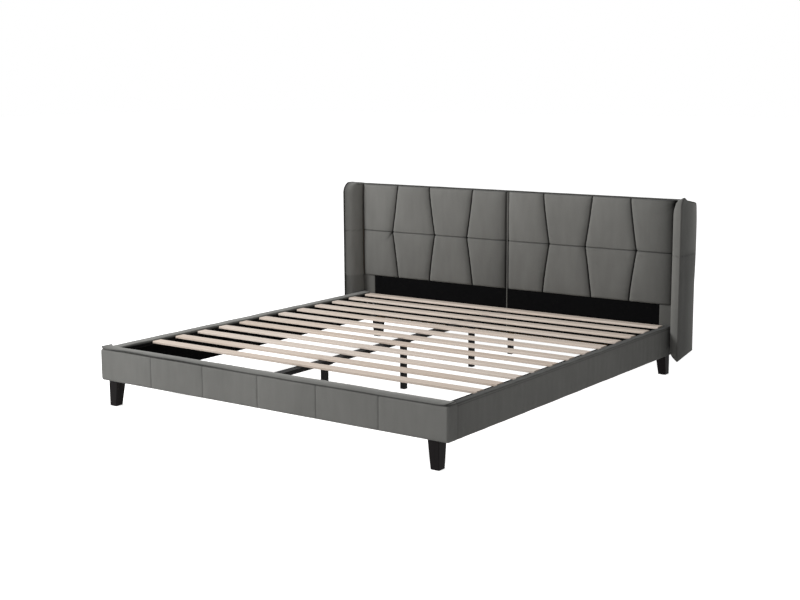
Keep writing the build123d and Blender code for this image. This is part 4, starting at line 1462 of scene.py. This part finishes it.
def rail_cover(name, side, lift, inside_shade_from, body_painted_light, roof_painted_light, seed):
    """The section carried along Y, with a seam pressed in under the top edge, slack ripples and painted
    light and shade.
    """
    section = rail_section()
    y = stretches((rail_low.y, rail_high.y), (260,), 0.25)[:, None]
    x, z = section[None, :, 0] + 0 * y, section[None, :, 1] + 0 * y
    outer_side = ramp(x - rail_board_high.x, rail_outer_blur)
    seam = bell(z - rail_high.z + rail_seam_drop, rail_seam_width)
    below = ramp(rail_high.z - rail_seam_drop - z, rail_below)
    slack = rail_slack * ripple(y, z * 0.4, seed, rail_wave)
    slack += rail_fine_slack * ripple(y, z * 0.2, seed + 1, rail_fine_wave)
    end_in = rail_end_in * (1 - rise(np.minimum(y - rail_low.y, rail_high.y - y), rail_end_reach))
    x = x + outer_side * (below * slack - rail_seam_depth * seam - end_in)
    roof = ramp(z - rail_high.z + rail_roof, rail_roof)
    outward = ramp(x - rail_low.x, rail_high.x - rail_low.x)
    z = z + roof * (rail_roof_slack * ripple(y, x, seed + 2, rail_roof_wave) + lift * outward)
    inside = ramp(rail_low.x + rail_inside - x, rail_inside_blur)
    inside = inside * ramp(rail_high.z - inside_shade_from - z, inside_shade_blur)
    # Painted light and shade: the top as given, nearly black inside below the slats, dark along the seam,
    # darker towards both ends.
    laid = body_painted_light + roof_painted_light * roof - 0.92 * inside * (1 - outer_side) - 0.35 * seam * outer_side
    laid = laid - 0.42 * fade(rail_high.y - y, rear_dark_reach)
    laid = laid - 0.24 * fade(y - rail_low.y, front_dark_reach)
    rings = np.stack([side * x, y + 0 * x, z], axis=-1)
    piece = ringed_piece(f"rail_sleeve_{name}", rings, velvet_finish, [f"rail_cover_{name}"], laid)


# Left rail: top painted paler; right rail: body and top painted darker, as painted light and shade.
rail_cover("left", -1, 8 * mm, 7 * mm, 0.0, 0.8, 60)
rail_cover("right", 1, 0 * mm, 2 * mm, -0.08, -0.6, 62)

# %% [markdown]
# ## The footboard
#
# The footboard's velvet is sewn from six panels. Each seam draws the front in by a few millimetres, and
# the panels swell between the seams. The cover goes round both ends, so its outer skin follows a path in
# plan: back along one end, round the corner, along the front and round the other corner. The inner skin
# is the wooden frame's own surface. The right end is stuffed a little fuller than the left.

# %% The footboard in plan
foot_low, foot_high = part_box("footboard_cover")
foot_frame_low, foot_frame_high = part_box("footboard_frame")
foot_corner = 9 * mm
foot_panels = 6
foot_seam_depth = 4 * mm


def foot_path():
    """The cover's outer path in plan as points and outward directions, with the seams' places on it."""
    reach_x = foot_high.x - foot_corner
    front_y = foot_low.y + foot_seam_depth
    corner = np.linspace(0, np.pi / 2, 10)
    y_end = stretches((foot_high.y, front_y + foot_corner), (10,), 0.5)
    end = np.stack([np.full_like(y_end, foot_high.x), y_end], axis=-1)
    bend_y = front_y + foot_corner * (1 - np.sin(corner))
    bend = np.stack([reach_x + foot_corner * np.cos(corner), bend_y], axis=-1)
    seams = np.linspace(reach_x, -reach_x, foot_panels + 1)
    x = stretches(seams, [30] * foot_panels, 0.75)
    face = np.stack([x, np.full_like(x, front_y)], axis=-1)
    right_part = np.concatenate([end, bend[1:]])
    left_part = right_part[::-1] * (-1, 1)
    path = np.concatenate([right_part, face[1:-1], left_part])
    out = np.zeros_like(path)
    out[:, 0] = ramp(np.abs(path[:, 0]) - reach_x, foot_corner) * np.sign(path[:, 0])
    out[:, 1] = -np.sqrt(1 - out[:, 0] ** 2)
    return path, out, seams


print("footboard cover from", round(foot_low.x, 4), "over a frame from", round(foot_frame_low.x, 4))

# %% How far the cloth stands out
foot_seam_swell, foot_seam_reach = 1.9 * mm, 5 * mm
foot_panel_swell, foot_panel_reach = 1.7 * mm, 70 * mm
foot_end_swell, foot_end_reach = 1.8 * mm, 30 * mm
foot_rim_reach = 14 * mm
foot_edge_in, foot_edge_reach = 3.2 * mm, 7 * mm
foot_left_slack, foot_left_reach = 2.5 * mm, 70 * mm
foot_left_from = 200 * mm
foot_slack, foot_wave = 0.45 * mm, 120 * mm
foot_slack_from_rim, foot_slack_from_seam = 16 * mm, 10 * mm
foot_pucker, foot_pucker_wave = 0.30 * mm, 24 * mm
foot_pucker_reach, foot_pucker_from = 18 * mm, 4 * mm


def foot_lift(x, y, z, to_seam, facing):
    """How far the cloth stands out: panels swell, ends swell, edges roll in, and slack ripples."""
    rim = np.minimum(z - foot_low.z, foot_high.z - z)
    swell = foot_seam_swell * rise(to_seam, foot_seam_reach)
    swell = swell + foot_panel_swell * rise(to_seam, foot_panel_reach)
    lift = facing * swell * rise(rim, foot_rim_reach)
    lift = lift + foot_end_swell * (1 - facing) * rise(rim, foot_end_reach)
    lift = lift - foot_edge_in * (1 - rise(rim, foot_edge_reach))
    left_end = (1 - facing) * (x < 0)
    lift = lift - foot_left_slack * left_end * ramp(z - foot_left_from, foot_left_reach)
    away = rise(rim, foot_slack_from_rim) * rise(to_seam, foot_slack_from_seam)
    lift = lift + foot_slack * ripple(x + y, z, 71, foot_wave) * away
    beside = fade(to_seam, foot_pucker_reach) * rise(to_seam, foot_pucker_from)
    return lift + foot_pucker * beside * ripple(x * 0.3, z, 72, foot_pucker_wave)


print("a panel's middle stands", round((foot_seam_swell + foot_panel_swell) / mm, 1), "mm over its seams")

# %% Footboard cover
foot_right_out, foot_right_reach = 5 * mm, 200 * mm
foot_right_from = 800 * mm
foot_seam_shade_width = 3 * mm
foot_top_shade_width = 4 * mm


def foot_cover():
    """Path in plan times height: panels swell between the seams, and top and bottom edges roll in; seams,
    top edge and ends get painted shade.
    """
    path, out, seams = foot_path()
    z = stretches((foot_low.z, foot_high.z), (46,), 0.6)[:, None]
    x, y = path[None, :, 0], path[None, :, 1]
    out_x, out_y = out[None, :, 0], out[None, :, 1]
    to_seam = np.min(np.abs(x[..., None] - seams[None, None, 1:-1]), axis=-1)
    lift = foot_lift(x, y, z, to_seam, -out_y)
    fuller = foot_right_out * ramp(x - foot_right_from, foot_right_reach)
    front = np.stack([x + lift * out_x + fuller, y + lift * out_y, z + 0 * x], axis=-1)
    # Painted shade along the seams and under the top edge, and on both ends of the cover.
    painted_shade = 0.35 * bell(to_seam, foot_seam_shade_width) * -out_y + 0.3 * bell(foot_high.z - z, foot_top_shade_width)
    laid = -painted_shade - 0.25 * (1 + out_y)
    back = front.copy()
    back[..., 0] = np.clip(x, foot_frame_low.x, foot_frame_high.x)
    back[..., 1] = np.clip(y, foot_frame_low.y, foot_high.y)
    points, faces = skin(front, back)
    laid = np.concatenate([laid, np.zeros_like(laid)])
    piece = make_piece("foot_cover", points, faces, velvet_finish, ["footboard_cover"], laid)


foot_cover()

# %% [markdown]
# ## The footboard's top
#
# A strip of thicker foam lies along the top of the footboard, and the velvet over it is domed. It is sewn
# to the front with a piping cord, which runs round both ends to the rails. By hand the seam never runs
# quite straight: it sags past the middle and comes up again at both ends. The dome is a flattened ellipse
# in section, whose front comes down to the seam, and at both ends its height and width close in along a
# quarter circle. The top is painted paler towards the back, as painted light; along the seam, at the right
# end and on the cord it is painted darker, as painted shade.

# %% Where the seam runs
foot_seam_rise = 5 * mm
foot_sag, foot_sag_length = 6.0 * mm, 750 * mm
foot_sag_from = -500 * mm
foot_seam_end_rise, foot_seam_end_reach = 7 * mm, 60 * mm
foot_seam_slack, foot_seam_wave = 1.2 * mm, 260 * mm


def foot_seam(x):
    """Height of the seam: level, then a soft step down past the middle, small waves, and up at both ends."""
    step = ramp(x - foot_sag_from, foot_sag_length)
    ends = foot_seam_end_rise * (1 - rise(foot_high.x - np.abs(x), foot_seam_end_reach))
    sag = foot_sag * step ** 2 * (3 - 2 * step) - ends
    return foot_high.z + foot_seam_rise - sag + foot_seam_slack * ripple(x, 0 * x, 83, foot_seam_wave)


seam_tries = np.array([-0.8, 0.0, 0.8])
print("the seam's height left, in the middle and right:", foot_seam(seam_tries).round(4))

# %% Footboard top band and piping
foot_left_in = 9 * mm
foot_right_in = 2.5 * mm
dome_back = 2 * mm
dome_rise = 2 * mm
dome_left_rise, dome_left_reach = 7 * mm, 90 * mm
dome_power = 0.62
dome_close = 10 * mm
dome_narrow = 3 * mm
dome_under_seam = 1.5 * mm
dome_seat_most = 3 * mm
dome_slack, dome_wave = 0.7 * mm, 170 * mm
dome_fine_slack, dome_fine_wave = 0.35 * mm, 46 * mm
dome_seam_shade_width = 2.5 * mm
dome_end_dark = 25 * mm
piping_radius = 2.6 * mm
piping_out = 1.6 * mm
piping_sides = 10
piping_dark_reach = 140 * mm


def foot_band():
    """A domed section carried along X: cosine and sine with small powers, closed in at the ends."""
    low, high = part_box("footboard_top_band")
    low.x += foot_left_in
    x = stretches((low.x, high.x), (220,), 0.6)[:, None]
    turn = np.linspace(0, np.pi, 30)[None, :]
    middle, half = (foot_high.y + dome_back + low.y) / 2, (foot_high.y + dome_back - low.y) / 2
    close = np.sqrt(1 - (1 - ramp(np.minimum(x - low.x, high.x - x), dome_close)) ** 2)
    cosine = np.sign(np.cos(turn)) * np.abs(np.cos(turn)) ** dome_power
    y = middle - (half - dome_narrow * (1 - close)) * cosine
    back_share = (y - low.y) / (foot_high.y - low.y)
    front_part = np.clip((0.5 - back_share) * 2, 0, 1)
    seat = low.z + np.minimum(foot_seam(x) - dome_under_seam - low.z, dome_seat_most) * front_part
    crown = high.z + dome_rise + dome_left_rise * (1 - rise(x - low.x, dome_left_reach))
    z = seat + (crown - seat) * (0.80 + 0.20 * close) * np.abs(np.sin(turn)) ** dome_power
    slack = dome_slack * ripple(x, y, 81, dome_wave)
    slack += dome_fine_slack * ripple(x, y * 0.3, 82, dome_fine_wave)
    z = z + slack * np.sin(turn) * close
    rings = np.stack([x + 0 * y, y, z], axis=-1)
    # Painted light and shade: dark along the seam and at the right end, paler towards the back, the more so
    # to the right.
    painted_shade = 0.3 * bell(z - foot_seam(x), dome_seam_shade_width) * front_part
    painted_shade = painted_shade + 0.35 * (1 - rise(high.x - x, dome_end_dark))
    laid = (0.85 + 0.35 * np.clip(x, 0, 1)) * np.clip(back_share, 0, 1) ** 1.4 - painted_shade
    piece = ringed_piece("foot_top_band", rings, velvet_finish, ["footboard_top_band"], laid)


def foot_piping():
    """The cord in the seam under the band, along one end, the front and the other end."""
    path, out, _ = foot_path()
    x = path[:, 0] - np.where(path[:, 0] < 0, foot_left_in, foot_right_in) * out[:, 0]
    y = path[:, 1] + piping_out * out[:, 1]
    points = np.stack([x, y, foot_seam(path[:, 0])], axis=-1)
    made, faces = tube(points, piping_radius, (0, 0, 1), piping_sides)
    # The cord is painted darker as painted shade, less so near its left end.
    from_left = (np.repeat(x, piping_sides) - foot_low.x) / piping_dark_reach
    piping_shade = -0.6 * np.clip(from_left, 0.3, 1)
    make_piece("foot_piping", made, faces, velvet_finish, (), piping_shade)


foot_band()
foot_piping()

# %% [markdown]
# ## Black cloth inside
#
# Thin black cloth lines the rails and the footboard inside the bay; on the left rail it hangs a little
# below the board. Each lining is a stretched sheet with a front and a back, flat along its edges and
# slack in between. The black cloth on the back of the headboard came ready with the frame.

# %% Linings
lining_step = 14 * mm
lining_slack, lining_wave = 0.2 * mm, 110 * mm
lining_taut = 20 * mm
lining_hang = 12 * mm


def lining_sheet(name, node, axis, seed, bottom=None):
    """A thin cloth stretched over a node's box and facing along one axis, with slack ripples."""
    low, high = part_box(node)
    low.z = low.z if bottom is None else bottom
    other = 1 - axis
    u = np.linspace(low[other], high[other], int((high[other] - low[other]) / lining_step) + 2)[None, :]
    z = np.linspace(low.z, high.z, 14)[:, None]
    rim = np.minimum(np.minimum(u - low[other], high[other] - u), np.minimum(z - low.z, high.z - z))
    slack = lining_slack * (1 + ripple(u, z, seed, lining_wave)) * rise(rim, lining_taut)
    grids = []
    for place, direction in ((low[axis], 1), (high[axis], -1)):
        flat = [None, None, z + 0 * u]
        flat[axis] = place + direction * slack + 0 * u
        flat[other] = u + 0 * z
        grids.append(np.stack(flat, axis=-1))
    points, faces = skin(*grids)
    make_piece(name, points, faces, lining_finish, [node])


lining_sheet("rail_inner_cloth_left", "rail_lining_left", 0, 91, rail_low.z - lining_hang)
lining_sheet("rail_inner_cloth_right", "rail_lining_right", 0, 93)
lining_sheet("foot_inner_cloth", "footboard_lining", 1, 95)

# %% Sizes of the frame and of the dressed scene, printed
size_lines = [f"cad {[round(v, 5) for corner in cad_box for v in corner]}"]
size_lines.append(f"looks {[round(v, 5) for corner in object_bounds() for v in corner]}")
"\n".join(size_lines) + "\n"
print("\n".join(size_lines))
